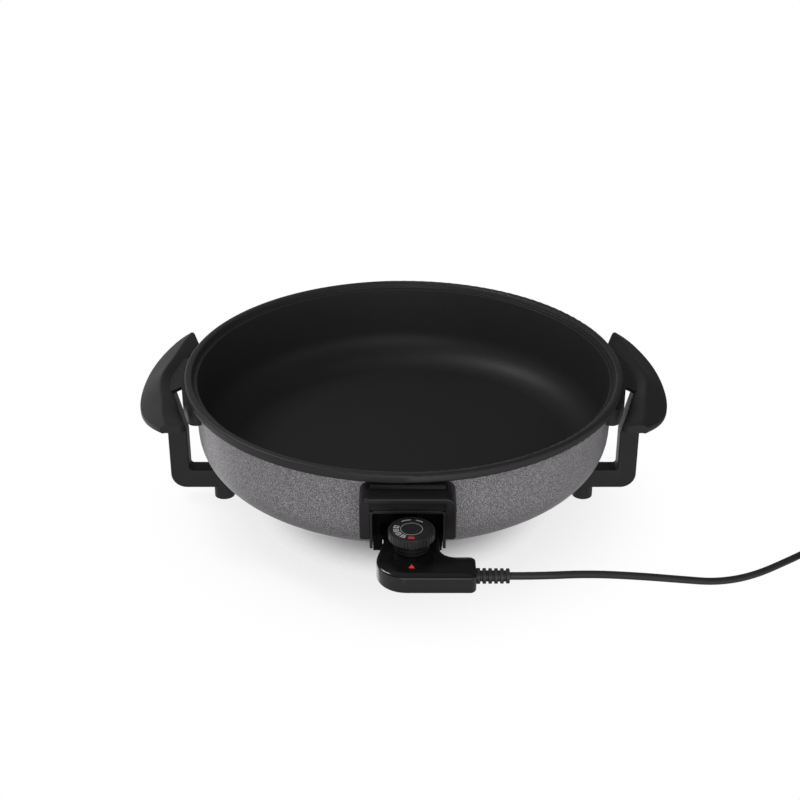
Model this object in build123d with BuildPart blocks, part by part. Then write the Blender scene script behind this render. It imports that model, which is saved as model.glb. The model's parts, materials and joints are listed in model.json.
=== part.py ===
"""Electric grill pan: a cast pan on moulded handles and feet, with a plug-in thermostat and its mains lead.

Millimetres, +Z up. The origin is on the pan's axis at table level, and -Y is the side of the thermostat.
"""

import os
from math import asin, atan2, cos, degrees, pi, radians, sin, sqrt, tan

from build123d import *

os.makedirs("parts", exist_ok=True)

# Clearances shared by all pieces
overrun = 2.0
fit_gap = 0.05
slide_gap = 0.4

# Pan
rim_d = 420.0
pan_height = 92.0
base_z = 54.0
base = 6.0
wall = 4.0
wall_draft = 3.0
corner_r = 38.0
rim_band = 8.5
rim_overhang = 8.0
band_round = 1.5
bead_width = 7.0
bead_round = 2.4
bead_slope = 0.8
seat_drop = 6.0
seat_round = 0.8
rim_screw_d = 4.0
rim_screw_inset = 4.0
rim_screw_bite = 5.0
rim_screw_head_d = 7.0
rim_screw_head = 3.0
rim_screw_sink = 4.0

# Feet
foot_inset = 30.0
slim_foot_inset = 60.0
foot_d = 20.0
slim_foot_d = 16.0
foot_round = 1.5
boss_drop = 4.0
washer = 1.0
pad_lift = 1.0
pad_d = 15.0
pad_plug = 8.0
foot_screw_d = 5.0
foot_screw_bite = 7.0
foot_screw_head_d = 9.0
foot_screw_head = 4.0
foot_well_d = 10.0
foot_well = 20.0

# Inlet at the front of the wall
inlet_x = 3.0
inlet_drop = 54.5
inlet_boss_width = 16.0
inlet_boss_height = 33.0
inlet_boss_proud = 6.5
pin_spread = 24.0
pin_d = 4.5
pin_reach = 17.5
insulator_d = 7.5
insulator = 2.5
plate = 1.2
plate_height = 28.0
plate_arm = 16.0
plate_arm_height = 12.0
plate_screw_d = 3.0
plate_screw_bite = 7.0
plate_screw_head_d = 5.5
plate_screw_head = 1.8
plate_screw_spread = 21.0
probe_d = 7.0
probe_bore_d = 5.0
probe_tip = 1.5
probe_sink = 3.0
probe_play = 0.5

# Heating element and its clips
element_d = 6.5
element_inset = 95.0
element_sink = 2.25
element_turn_r = 15.0
riser_out = 2.3
riser_top_r = 6.0
riser_foot_share = 0.52
sheath_reach = 10.0
clip = 1.2
clip_width = 10.0
clip_half_length = 14.0
clip_screw_d = 3.0
clip_screw_bite = 4.0
clip_screw_head_d = 5.5
clip_screw_head = 1.8
clip_screw_x = 9.5
clip_angles = (18.0, 90.0, 162.0, 234.0, 306.0)

# Guard round the inlet and the metal frame in it
guard_wall = 8.7
guard_proud = 18.0
guard_depth = 38.0
guard_drop = 3.7
guard_height = 40.8
guard_roof = 12.8
guard_corner_r = 9.0
guard_foot_r = 3.0
guard_edge_r = 1.8
guard_tab_inset = 9.0
guard_tab_proud = 2.0
guard_rebate = 2.0
guard_rebate_height = 8.0
guard_screw_spread = 36.0
frame_play = 3.3
frame_wall = 2.5
frame_height = 37.0
frame_corner_r = 4.0
frame_set_back = 1.0
frame_depth = 22.0

# Handles
grip_span = 200.0
grip_reach = 43.0
crest_reach = 24.0
inner_reach = 13.0
crest_drop = 3.0
outer_drop = 13.5
inner_drop = 6.0
grip_thickness = 8.5
grip_edge = 6.5
grip_round = 2.2
crest_round = 3.5
station_shares = (0.0, 0.3, 0.6, 0.88, 1.0)
outer_shares = (1.0, 0.96, 0.81, 0.50, 0.28)
crest_shares = (1.0, 0.85, 0.63, 0.42, 0.31)
inner_shares = (1.0, 0.60, 0.0, -0.63, -0.85)
outer_drop_shares = (1.0, 0.95, 0.78, 0.40, 0.22)
inner_drop_shares = (1.0, 0.98, 0.9, 0.62, 0.45)
lug_proud = 3.0
lug_half_angle = 22.0
lug_end_r = 8.0
lug_screw_angle = 14.0
end_corner_r = 8.0
web = 3.5
web_front = 13.0
web_flare = 15.0
web_back = 45.0
web_root_inset = 2.0
web_drop = 5.5
web_overlap = 3.0
web_sink = 0.3
leg_reach = 21.3
leg_gap = 2.5
leg_lean = 13.0
leg_flare = 8.0
leg_bend_share = 0.45
leg_bend_r = 25.0
leg_depth = 18.0
leg_top_drop = 6.5
bar_z = 14.0
bar_height = 20.0
leg_corner_r = 15.0
leg_throat_r = 3.0
leg_edge_r = 1.5

# Thermostat case
case_height = 17.0
case_wall = 2.0
case_round = 2.4
neck_gap = 6.0
neck_length = 46.0
neck_round = 3.0
flare_start = 24.0
flare_end = 48.0
flare_r = 30.0
arm_flare = 5.5
arm_reach = 29.0
arm_depth = 31.0
arm_round = 5.0
arm_corner_r = 25.0
throat_r = 13.0
case_boss_d = 7.2
case_boss_sink = 0.1
case_screw_d = 2.6
case_screw_bite = 5.0
case_screw_head_d = 5.0
case_screw_head = 2.0
case_screw_sink = 3.0
neck_screw_run = 16.0
right_screw_inset = 22.5
right_screw_rise = 6.0
left_screw_inset = 11.5
left_screw_rise = 9.7

# Dial, its spindle with the cam, and the contact lever
dial_run = 34.0
dial_d = 39.0
dial_lift = 11.0
dial_height = 7.2
dial_wall = 4.0
dial_crown = 3.0
dial_flutes = 44
dial_flute_d = 1.9
dial_edge = 0.8
dial_hub_d = 12.0
dial_hub_rise = 3.0
cap_d = 33.0
cap = 1.2
collar_d = 31.0
collar_rings = 3
collar_ring_share = 0.7
collar_groove = 1.0
collar_gap = 1.4
bush_d = 9.0
bush_flange_d = 12.0
bush_flange = 1.5
bush_rise = 12.5
spindle_d = 6.0
spindle_lift = 2.0
pivot_d = 3.0
pivot_depth = 3.0
pivot_play = 0.4
dial_range = 250.0
cam_r = 6.5
cam_rise = 2.5
cam_rest = 20.0
cam_hold = 15.0
cam_step = 15.0
cam_lift = 2.6
cam = 2.8
lever_arm = 18.0
lever_tail = 13.0
lever_width = 3.0
lever_nose_r = 2.0
lever_hub_d = 7.0
nose_gap = 0.3
contact_d = 3.0
contact = 0.8
contact_gap = 2.2
blade = 0.8
blade_width = 8.0
blade_height = 8.0
shoulder_d = 6.0

# Other pieces in the thermostat
block_run = 6.0
block_depth = 14.0
block_headroom = 0.6
block_left_wall = 2.5
block_right_wall = 1.5
block_play = 0.5
socket_d = 7.0
socket_length = 20.0
socket_bore = 14.0
mouth_d = 5.5
rod_d = 2.6
rod_length = 38.0
spring_run = 9.0
spring_half_length = 6.0
spring_proud = 1.2
spring_leaf = 0.6
spring_height = 7.0
lens_run = 28.0
lens_width = 4.6
lens_length = 5.0
lens_lip = 1.0
lens_proud = 0.4
lamp_d = 5.0
lamp_shift = 3.0
lamp_headroom = 3.0
lamp_ring = 1.2
lamp_ring_height = 3.0
clamp_inset = 8.5
clamp_width = 8.0
clamp = 1.5
clamp_half_span = 10.0
clamp_screw_y = 7.0
clamp_post_d = 4.6
clamp_post = 4.0
clamp_screw_d = 2.2
clamp_screw_bite = 4.0
clamp_screw_head_d = 4.4
clamp_screw_head = 1.6

# Mains lead, its strain relief, coil and plug
cord_d = 6.5
cord_inset = 16.0
cord_drop = 1.5
tail_inset = 14.5
relief_flange_d = 9.8
relief_flange = 2.05
relief_neck_d = 8.2
relief_d = 13.0
relief_tip_d = 12.4
relief_core_d = 9.2
relief_collar = 3.4
relief_length = 27.5
relief_ribs = 5
relief_rib_share = 0.58
lead_d = 2.0
bend_share = 0.45
coil_step = 7.1
coil_d = 84.0
coil_turns = 3.35
coil_climb = 0.5
tie = 0.8
tie_width = 9.0
tie_gap = 0.4
tie_round = 4.0
tie_angle = 235.0
plug_run = 62.0
lead_dip_share = 0.2
plug_d = 37.0
plug_head = 15.0
plug_waist_d = 27.0
plug_length = 38.0
plug_round = 2.5
boot_d = 11.0
boot_tip_d = 8.6
boot_length = 20.0
plug_pin_d = 4.8
plug_pin = 19.0
plug_pin_spread = 19.0
plug_pin_root = 8.0
plug_pin_root_d = 4.0
plug_pin_round = 1.8
earth_slot_width = 6.0
earth_slot = 2.6
earth_strip = 1.0
earth_strip_width = 4.4
earth_strip_length = 12.0

# Routes of the leads in the case, from the dial's axis at the pins' height
lead_routes = (
    (
        (37.9, -29.0, -2.3),
        (30.0, -29.0, -2.3),
        (22.0, -32.6, -2.3),
        (14.0, -36.05, -2.5),
        (2.8, -36.05, -2.5),
    ),
    (
        (37.9, -27.0, 0.5),
        (31.0, -27.0, 0.5),
        (24.5, -21.0, 2.1),
        (20.0, -12.0, 2.9),
        (14.5, -3.5, 2.3),
        (9.0, 3.5, 1.5),
        (9.0, 11.9, 1.5),
    ),
    (
        (37.9, -25.0, -2.3),
        (31.0, -25.0, -2.3),
        (24.0, -18.0, -1.5),
        (20.2, -9.0, -0.9),
        (20.0, 2.0, -0.9),
        (20.2, 13.8, -0.9),
    ),
    (
        (7.2, -18.0, 0.5),
        (-1.0, -18.0, 0.5),
        (-9.0, -14.5, 1.3),
        (-14.4, -7.0, 1.9),
        (-15.0, 3.0, 1.5),
        (-15.0, 11.9, 1.5),
    ),
)

# Route of the mains lead from the relief's end in plan, with the share of its first height that is left
cord_route = (
    (0.0, 0.0, 1.0),
    (24.0, 0.0, 1.0),
    (66.0, 7.0, 0.9695),
    (112.0, 29.0, 0.7682),
    (154.0, 61.0, 0.4753),
    (194.0, 92.0, 0.1946),
    (234.0, 122.0, 0.036),
    (275.0, 153.0, 0.0),
)
cord_heading = 36.0
cord_last_run = 34.0

# Pan and handles: places worked out from the sizes above
rim_r = rim_d / 2
rim_z = base_z + pan_height
wall_r = rim_r - rim_overhang
band_z = rim_z - rim_band
seat_z = rim_z - seat_drop
floor_z = base_z + base
boss_z = base_z - boss_drop
foot_x = rim_r - foot_inset
foot_y = rim_r - slim_foot_inset
side_feet = ((-foot_x, 0), (foot_x, 0))
slim_feet = ((inlet_x, -foot_y), (0, foot_y))
rim_screw_r = rim_r - rim_screw_inset
guard_screw_xs = (inlet_x - guard_screw_spread / 2, inlet_x + guard_screw_spread / 2)
lug_angles = (-lug_screw_angle, lug_screw_angle, 180 - lug_screw_angle, 180 + lug_screw_angle)
rim_screw_places = [(rim_screw_r * cos(radians(a)), rim_screw_r * sin(radians(a))) for a in lug_angles]
rim_screw_places += [(x, -sqrt(rim_screw_r**2 - x**2)) for x in guard_screw_xs]
guard_top_z = band_z - guard_drop
guard_z = guard_top_z - guard_height
guard_front_y = rim_r + guard_proud
guard_back_y = guard_front_y - guard_depth
guard_tab_front_y = rim_r + guard_tab_proud
frame_top_z = guard_top_z - guard_roof
frame_z = frame_top_z - frame_height
frame_front_y = guard_front_y - frame_set_back
frame_back_y = frame_front_y - frame_depth
crest_z = band_z - crest_drop
lug_z = frame_top_z
lug_r = rim_r + lug_proud
web_root_x = rim_r - web_root_inset
web_root_z = band_z - web_drop
leg_outer_x = rim_r + leg_reach
leg_inner_x = rim_r + leg_gap
leg_top_z = crest_z - leg_top_drop
bar_top_z = bar_z + bar_height
leg_bend_z = bar_top_z + leg_bend_share * (leg_top_z - bar_top_z)

# Inlet and element
pin_z = rim_z - inlet_drop
pin_xs = (inlet_x - pin_spread / 2, inlet_x + pin_spread / 2)
inlet_boss_y = wall_r + inlet_boss_proud
probe_y = wall_r - probe_sink
sheath_end_y = wall_r + sheath_reach
riser_y = wall_r + riser_out
element_z = base_z - element_d / 2 + element_sink
element_r = rim_r - element_inset
riser_foot_r = riser_foot_share * (pin_z - element_z)

# Thermostat: its neck goes round the block with the sockets, and the frame goes round the neck
case_z = pin_z - case_height / 2
case_top_z = case_z + case_height
case_split_z = pin_z
pocket_z = case_z + case_wall
ceiling_z = case_top_z - case_wall
block_left = pin_xs[0] - socket_d / 2 - block_left_wall
block_right = pin_xs[1] + socket_d / 2 + block_right_wall
block_height = ceiling_z - pocket_z - block_headroom
neck_screw_x = block_right + slide_gap + case_boss_d / 2
neck_left = block_left - block_play - case_wall
neck_right = neck_screw_x + case_boss_d / 2 - case_boss_sink + case_wall
neck_end_y = -rim_r - neck_gap
arm_left = neck_left - arm_flare
arm_right = neck_right + arm_reach
arm_back_y = neck_end_y - neck_length
arm_front_y = arm_back_y - arm_depth
flare_back_y = neck_end_y - flare_start
flare_front_y = neck_end_y - flare_end
case_screw_places = (
    (neck_screw_x, neck_end_y - neck_screw_run),
    (arm_right - right_screw_inset, arm_front_y + right_screw_rise),
    (arm_left + left_screw_inset, arm_front_y + left_screw_rise),
)
frame_width = 2 * (neck_right + frame_play + frame_wall - inlet_x)
guard_width = frame_width + 2 * guard_wall
guard_tab_width = guard_width - 2 * guard_tab_inset
block_front_y = neck_end_y - block_run
block_back_y = block_front_y - block_depth
spring_y = neck_end_y - spring_run
dial_x = (neck_left + neck_right) / 2
dial_y = neck_end_y - dial_run
dial_z = case_top_z + dial_lift
collar_height = dial_lift - collar_gap
bush_top_z = case_top_z + bush_rise
spindle_z = pocket_z + spindle_lift
cam_z = pocket_z + cam_lift
lever_x = dial_x + cam_r + nose_gap + lever_nose_r
lever_y = dial_y - lever_arm
lever_swing = degrees(asin(cam_rise / lever_arm))
lens_y = dial_y - lens_run
lamp_height = ceiling_z - pocket_z - lamp_headroom
clamp_x = arm_right - clamp_inset
cord_y = arm_front_y + cord_inset
cord_z = case_split_z - cord_drop
cord_rest_z = cord_d / 2 + tie
tail_x = arm_right - tail_inset
relief_x = arm_right - case_wall - fit_gap - relief_flange
relief_end_x = arm_right + relief_length


def wall_radius(z):
    """Outside radius of the pan's wall at a height, from its draft."""
    return wall_r - (band_z - z) * tan(radians(wall_draft))


def rounded(points, radii):
    """Edges of a closed outline through the points, each corner rounded by its own radius."""
    with BuildLine() as edge:
        FilletPolyline(*points, radius=radii, close=True)
    return edge.line.edges()


def front_plane(y):
    """A plane that faces the front, at a distance y in front of the pan's axis."""
    return Plane.XZ.offset(y)


def route_radii(points):
    """The rounding that each corner of a route has room for."""
    radii = []
    for before, corner, after in zip(points, points[1:], points[2:]):
        run_in = Vector(corner) - Vector(before)
        run_out = Vector(after) - Vector(corner)
        turn = radians(run_in.get_angle(run_out))
        radii.append(bend_share * min(run_in.length, run_out.length) / tan(turn / 2))
    return radii


# Path of the heating element: down from one pin, round under the base, and up to the other pin
turn_x = pin_spread / 2 + element_turn_r
turn_y = -sqrt((element_r + element_turn_r) ** 2 - turn_x**2)
turn_angle = atan2(-turn_y, turn_x)
join_share = element_r / (element_r + element_turn_r)


def element_side(side):
    """The points of one side of the element: its riser, and the turn from its lead into the ring."""
    x = inlet_x + side * pin_spread / 2
    centre_x = inlet_x + side * turn_x
    riser = [
        (x, -sheath_end_y, pin_z),
        (x, -riser_y, pin_z),
        (x, -riser_y, element_z),
        (x, turn_y, element_z),
    ]
    middle = (
        centre_x - side * element_turn_r * cos(turn_angle / 2),
        turn_y + element_turn_r * sin(turn_angle / 2),
        element_z,
    )
    join = (inlet_x + side * turn_x * join_share, turn_y * join_share, element_z)
    return riser, middle, join


def element_path():
    """The whole path of the element as one line."""
    left_riser, left_middle, left_join = element_side(-1)
    right_riser, right_middle, right_join = element_side(1)
    back = (inlet_x, element_r, element_z)
    with BuildLine() as path:
        FilletPolyline(*left_riser, radius=[riser_top_r, riser_foot_r])
        ThreePointArc(left_riser[-1], left_middle, left_join)
        ThreePointArc(left_join, (inlet_x - element_r, 0, element_z), back)
        ThreePointArc(back, (inlet_x + element_r, 0, element_z), right_join)
        ThreePointArc(right_join, right_middle, right_riser[-1])
        FilletPolyline(*reversed(right_riser), radius=[riser_foot_r, riser_top_r])
    return path.line


element_line = element_path()
element_start = Plane(origin=element_line @ 0, z_dir=element_line % 0)


def clip_plane(angle):
    """A plane across the element's ring at an angle: x runs outwards and y up."""
    out = Vector(1, 0, 0).rotate(Axis.Z, angle)
    along = Vector(0, 1, 0).rotate(Axis.Z, angle)
    return Plane(origin=Vector(inlet_x, 0, element_z) + out * element_r, x_dir=out, z_dir=along * -1)


clip_arc = degrees(clip_width / element_r)
clip_screw_places = []
for angle in clip_angles:
    for out in (-clip_screw_x, clip_screw_x):
        place = clip_plane(angle).origin + clip_plane(angle).x_dir * out
        clip_screw_places.append((place.X, place.Y))

# Pan
with BuildPart() as pan:
    with BuildSketch(Plane.XZ):
        make_face(
            rounded(
                [
                    (0, base_z),
                    (wall_radius(base_z), base_z),
                    (wall_r, band_z),
                    (rim_r, band_z),
                    (rim_r, rim_z),
                    (0, rim_z),
                ],
                [0, corner_r, band_round, band_round, 0, 0],
            )
        )
    revolve(axis=Axis.Z)
    with BuildSketch(Plane.XY.offset(boss_z)):
        with Locations(*side_feet):
            Circle(foot_d / 2)
        with Locations(*slim_feet):
            Circle(slim_foot_d / 2)
    extrude(amount=boss_drop + corner_r / 2)
    with BuildSketch(front_plane(inlet_boss_y)):
        with Locations((inlet_x, pin_z)):
            Rectangle(inlet_boss_width, inlet_boss_height)
    extrude(amount=-corner_r)
    seat_in_r = wall_radius(seat_z) - wall
    bead_r = rim_r - bead_width
    with BuildSketch(Plane.XZ):
        make_face(
            rounded(
                [
                    (0, floor_z),
                    (wall_radius(floor_z) - wall, floor_z),
                    (seat_in_r, seat_z),
                    (bead_r - bead_slope, seat_z),
                    (bead_r, rim_z),
                    (bead_r, rim_z + overrun),
                    (0, rim_z + overrun),
                ],
                [0, corner_r - wall, seat_round, seat_round, 0, 0, 0],
            )
        )
    revolve(axis=Axis.Z, mode=Mode.SUBTRACT)
    fillet(pan.edges().filter_by(GeomType.CIRCLE).group_by(Axis.Z)[-1], bead_round)
    with BuildSketch(Plane.XY.offset(boss_z)):
        with Locations(*side_feet, *slim_feet):
            Circle(foot_screw_d / 2 + fit_gap)
    extrude(amount=foot_screw_bite + fit_gap, mode=Mode.SUBTRACT)
    with BuildSketch(Plane.XY.offset(band_z)):
        with Locations(*rim_screw_places):
            Circle(rim_screw_d / 2 + fit_gap)
    extrude(amount=rim_screw_bite + fit_gap, mode=Mode.SUBTRACT)
    with BuildSketch(Plane.XY.offset(base_z)):
        with Locations(*clip_screw_places):
            Circle(clip_screw_d / 2 + fit_gap)
    extrude(amount=clip_screw_bite + fit_gap, mode=Mode.SUBTRACT)
    with BuildSketch(front_plane(inlet_boss_y)):
        with Locations((inlet_x, pin_z)):
            Circle(probe_d / 2 + fit_gap)
    extrude(amount=probe_y - probe_play - inlet_boss_y, mode=Mode.SUBTRACT)
    with BuildSketch(front_plane(inlet_boss_y)):
        with Locations((inlet_x, pin_z)):
            with GridLocations(0, plate_screw_spread, 1, 2):
                Circle(plate_screw_d / 2 + fit_gap)
    extrude(amount=-plate_screw_bite - fit_gap, mode=Mode.SUBTRACT)
    with BuildSketch(element_start):
        Circle(element_d / 2 + fit_gap)
    sweep(path=element_line, mode=Mode.SUBTRACT)
pan.part.label = "pan"
export_step(pan.part, "parts/pan.step")

# Heating element
with BuildPart() as heating_element:
    with BuildSketch(element_start):
        Circle(element_d / 2)
    sweep(path=element_line)
heating_element.part.label = "heating_element"
export_step(heating_element.part, "parts/heating_element.step")

# Clips that hold the element in its groove, and their screws
with BuildPart() as element_clips:
    for angle in clip_angles:
        with BuildSketch(clip_plane(angle - clip_arc / 2)):
            Circle(element_d / 2 + fit_gap + clip)
            with Locations((0, base_z - element_z - clip / 2)):
                Rectangle(2 * clip_half_length, clip)
            Circle(element_d / 2 + fit_gap, mode=Mode.SUBTRACT)
            with Locations((0, base_z - element_z)):
                Rectangle(
                    2 * clip_half_length,
                    element_d,
                    align=(Align.CENTER, Align.MIN),
                    mode=Mode.SUBTRACT,
                )
        revolve(axis=Axis((inlet_x, 0, 0), (0, 0, 1)), revolution_arc=clip_arc)
    with BuildSketch(Plane.XY.offset(base_z)):
        with Locations(*clip_screw_places):
            Circle(clip_screw_d / 2 + fit_gap)
    extrude(amount=-clip - overrun, mode=Mode.SUBTRACT)
element_clips.part.label = "element_clips"
export_step(element_clips.part, "parts/element_clips.step")

with BuildPart() as clip_screws:
    with BuildSketch(Plane.XY.offset(base_z - clip - clip_screw_head)):
        with Locations(*clip_screw_places):
            Circle(clip_screw_head_d / 2)
    extrude(amount=clip_screw_head)
    with BuildSketch(Plane.XY.offset(base_z - clip)):
        with Locations(*clip_screw_places):
            Circle(clip_screw_d / 2)
    extrude(amount=clip + clip_screw_bite)
clip_screws.part.label = "clip_screws"
export_step(clip_screws.part, "parts/clip_screws.step")

# Terminal pins and their ceramic insulators
with BuildPart() as terminal_pins:
    with BuildSketch(front_plane(sheath_end_y)):
        with Locations(*[(x, pin_z) for x in pin_xs]):
            Circle(pin_d / 2)
    extrude(amount=pin_reach)
    fillet(terminal_pins.faces().sort_by(Axis.Y)[:2].edges(), pin_d / 5)
terminal_pins.part.label = "terminal_pins"
export_step(terminal_pins.part, "parts/terminal_pins.step")

with BuildPart() as pin_insulators:
    with BuildSketch(front_plane(sheath_end_y)):
        with Locations(*[(x, pin_z) for x in pin_xs]):
            Circle(insulator_d / 2)
            Circle(pin_d / 2 + fit_gap, mode=Mode.SUBTRACT)
    extrude(amount=insulator)
pin_insulators.part.label = "pin_insulators"
export_step(pin_insulators.part, "parts/pin_insulators.step")

# Earth plate on the boss, with an arm on each side of the thermostat's neck
arm_left_x = neck_left - spring_proud - slide_gap
arm_right_x = neck_right + spring_proud + slide_gap
with BuildPart() as earth_plate:
    with BuildSketch(front_plane(inlet_boss_y)):
        with Locations(((arm_left_x + arm_right_x) / 2, pin_z)):
            Rectangle(arm_right_x - arm_left_x + 2 * plate, plate_arm_height)
        with Locations((inlet_x, pin_z)):
            Rectangle(inlet_boss_width, plate_height)
            Circle(probe_d / 2 + slide_gap, mode=Mode.SUBTRACT)
            with GridLocations(0, plate_screw_spread, 1, 2):
                Circle(plate_screw_d / 2 + fit_gap, mode=Mode.SUBTRACT)
        with Locations(*[(x, pin_z) for x in pin_xs]):
            Circle(element_d / 2 + plate, mode=Mode.SUBTRACT)
    extrude(amount=plate)
    with BuildSketch(front_plane(inlet_boss_y + plate)):
        with Locations((arm_left_x - plate / 2, pin_z), (arm_right_x + plate / 2, pin_z)):
            Rectangle(plate, plate_arm_height)
    extrude(amount=plate_arm)
earth_plate.part.label = "earth_plate"
export_step(earth_plate.part, "parts/earth_plate.step")

with BuildPart() as plate_screws:
    with BuildSketch(front_plane(inlet_boss_y + plate)):
        with Locations((inlet_x, pin_z)):
            with GridLocations(0, plate_screw_spread, 1, 2):
                Circle(plate_screw_head_d / 2)
    extrude(amount=plate_screw_head)
    with BuildSketch(front_plane(inlet_boss_y + plate)):
        with Locations((inlet_x, pin_z)):
            with GridLocations(0, plate_screw_spread, 1, 2):
                Circle(plate_screw_d / 2)
    extrude(amount=-plate - plate_screw_bite)
plate_screws.part.label = "plate_screws"
export_step(plate_screws.part, "parts/plate_screws.step")

# Guard: a moulded arch over the inlet, hung from the rim by its tab
with BuildPart() as inlet_guard:
    left = inlet_x - guard_width / 2
    right = inlet_x + guard_width / 2
    with BuildSketch(front_plane(guard_front_y)):
        make_face(
            rounded(
                [(left, guard_z), (right, guard_z), (right, guard_top_z), (left, guard_top_z)],
                [guard_foot_r, guard_foot_r, guard_corner_r, guard_corner_r],
            )
        )
    extrude(amount=guard_back_y - guard_front_y)
    fillet(inlet_guard.faces().sort_by(Axis.Y)[0].edges(), guard_edge_r)
    with BuildSketch(Plane.XY.offset(guard_top_z - rim_screw_head)):
        with Locations((inlet_x, -guard_tab_front_y)):
            Rectangle(guard_tab_width, guard_tab_front_y - guard_back_y, align=(Align.CENTER, Align.MIN))
    extrude(amount=band_z - guard_top_z + rim_screw_head)
    opening = frame_width / 2 + fit_gap
    with BuildSketch(front_plane(guard_front_y + overrun)):
        make_face(
            rounded(
                [
                    (inlet_x - opening, guard_z - overrun),
                    (inlet_x + opening, guard_z - overrun),
                    (inlet_x + opening, frame_top_z + fit_gap),
                    (inlet_x - opening, frame_top_z + fit_gap),
                ],
                [0, 0, frame_corner_r, frame_corner_r],
            )
        )
    extrude(amount=guard_back_y - guard_front_y - 2 * overrun, mode=Mode.SUBTRACT)
    with BuildSketch(front_plane(guard_front_y + overrun)):
        with Locations((inlet_x, frame_top_z)):
            Rectangle(2 * opening, guard_rebate_height, align=(Align.CENTER, Align.MIN))
    extrude(amount=-overrun - guard_rebate, mode=Mode.SUBTRACT)
    with BuildSketch(Plane.XY.offset(guard_z - overrun)):
        Circle(wall_r + fit_gap)
    extrude(amount=rim_z - guard_z, mode=Mode.SUBTRACT)
    with BuildSketch(Plane.XY.offset(band_z - band_round)):
        Circle(wall_r + band_round + fit_gap)
    extrude(amount=band_round, mode=Mode.SUBTRACT)
    with BuildSketch(Plane.XY.offset(frame_top_z)):
        with Locations(*rim_screw_places[-2:]):
            Circle(rim_screw_head_d / 2 + slide_gap)
    extrude(amount=rim_screw_sink, mode=Mode.SUBTRACT)
    with BuildSketch(Plane.XY.offset(frame_top_z)):
        with Locations(*rim_screw_places[-2:]):
            Circle(rim_screw_d / 2 + fit_gap)
    extrude(amount=rim_z - frame_top_z, mode=Mode.SUBTRACT)
inlet_guard.part.label = "inlet_guard"
export_step(inlet_guard.part, "parts/inlet_guard.step")

with BuildPart() as inlet_frame:
    half = frame_width / 2
    inner = half - frame_wall
    with BuildSketch(front_plane(frame_front_y)):
        make_face(
            rounded(
                [
                    (inlet_x - half, frame_z),
                    (inlet_x + half, frame_z),
                    (inlet_x + half, frame_top_z),
                    (inlet_x - half, frame_top_z),
                ],
                [0, 0, frame_corner_r, frame_corner_r],
            )
        )
        make_face(
            rounded(
                [
                    (inlet_x - inner, frame_z - overrun),
                    (inlet_x + inner, frame_z - overrun),
                    (inlet_x + inner, frame_top_z - frame_wall),
                    (inlet_x - inner, frame_top_z - frame_wall),
                ],
                [0, 0, frame_corner_r - frame_wall, frame_corner_r - frame_wall],
            ),
            mode=Mode.SUBTRACT,
        )
    extrude(amount=frame_back_y - frame_front_y)
inlet_frame.part.label = "inlet_frame"
export_step(inlet_frame.part, "parts/inlet_frame.step")


def handle_web():
    """The thin web between the lug and the grip, cut slantwise at its front."""
    web_x = rim_r + inner_reach + web_overlap
    web_z = crest_z - inner_drop + web_overlap * inner_drop / (crest_reach - inner_reach) - web_sink
    with BuildPart() as sheet:
        with BuildSketch(Plane.XZ):
            with BuildLine():
                Polyline(
                    (web_root_x, web_root_z - web),
                    (web_x, web_z - web),
                    (web_x, web_z),
                    (web_root_x, web_root_z),
                    close=True,
                )
            make_face()
        extrude(amount=web_back, both=True)
        with BuildSketch(Plane.XY.offset(lug_z)):
            with BuildLine():
                Polyline(
                    (web_root_x, -web_front),
                    (web_x, -web_front - web_flare),
                    (web_x, web_back),
                    (web_root_x, web_back),
                    close=True,
                )
            make_face()
        extrude(amount=rim_z - lug_z, mode=Mode.INTERSECT)
    return sheet.part


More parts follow.
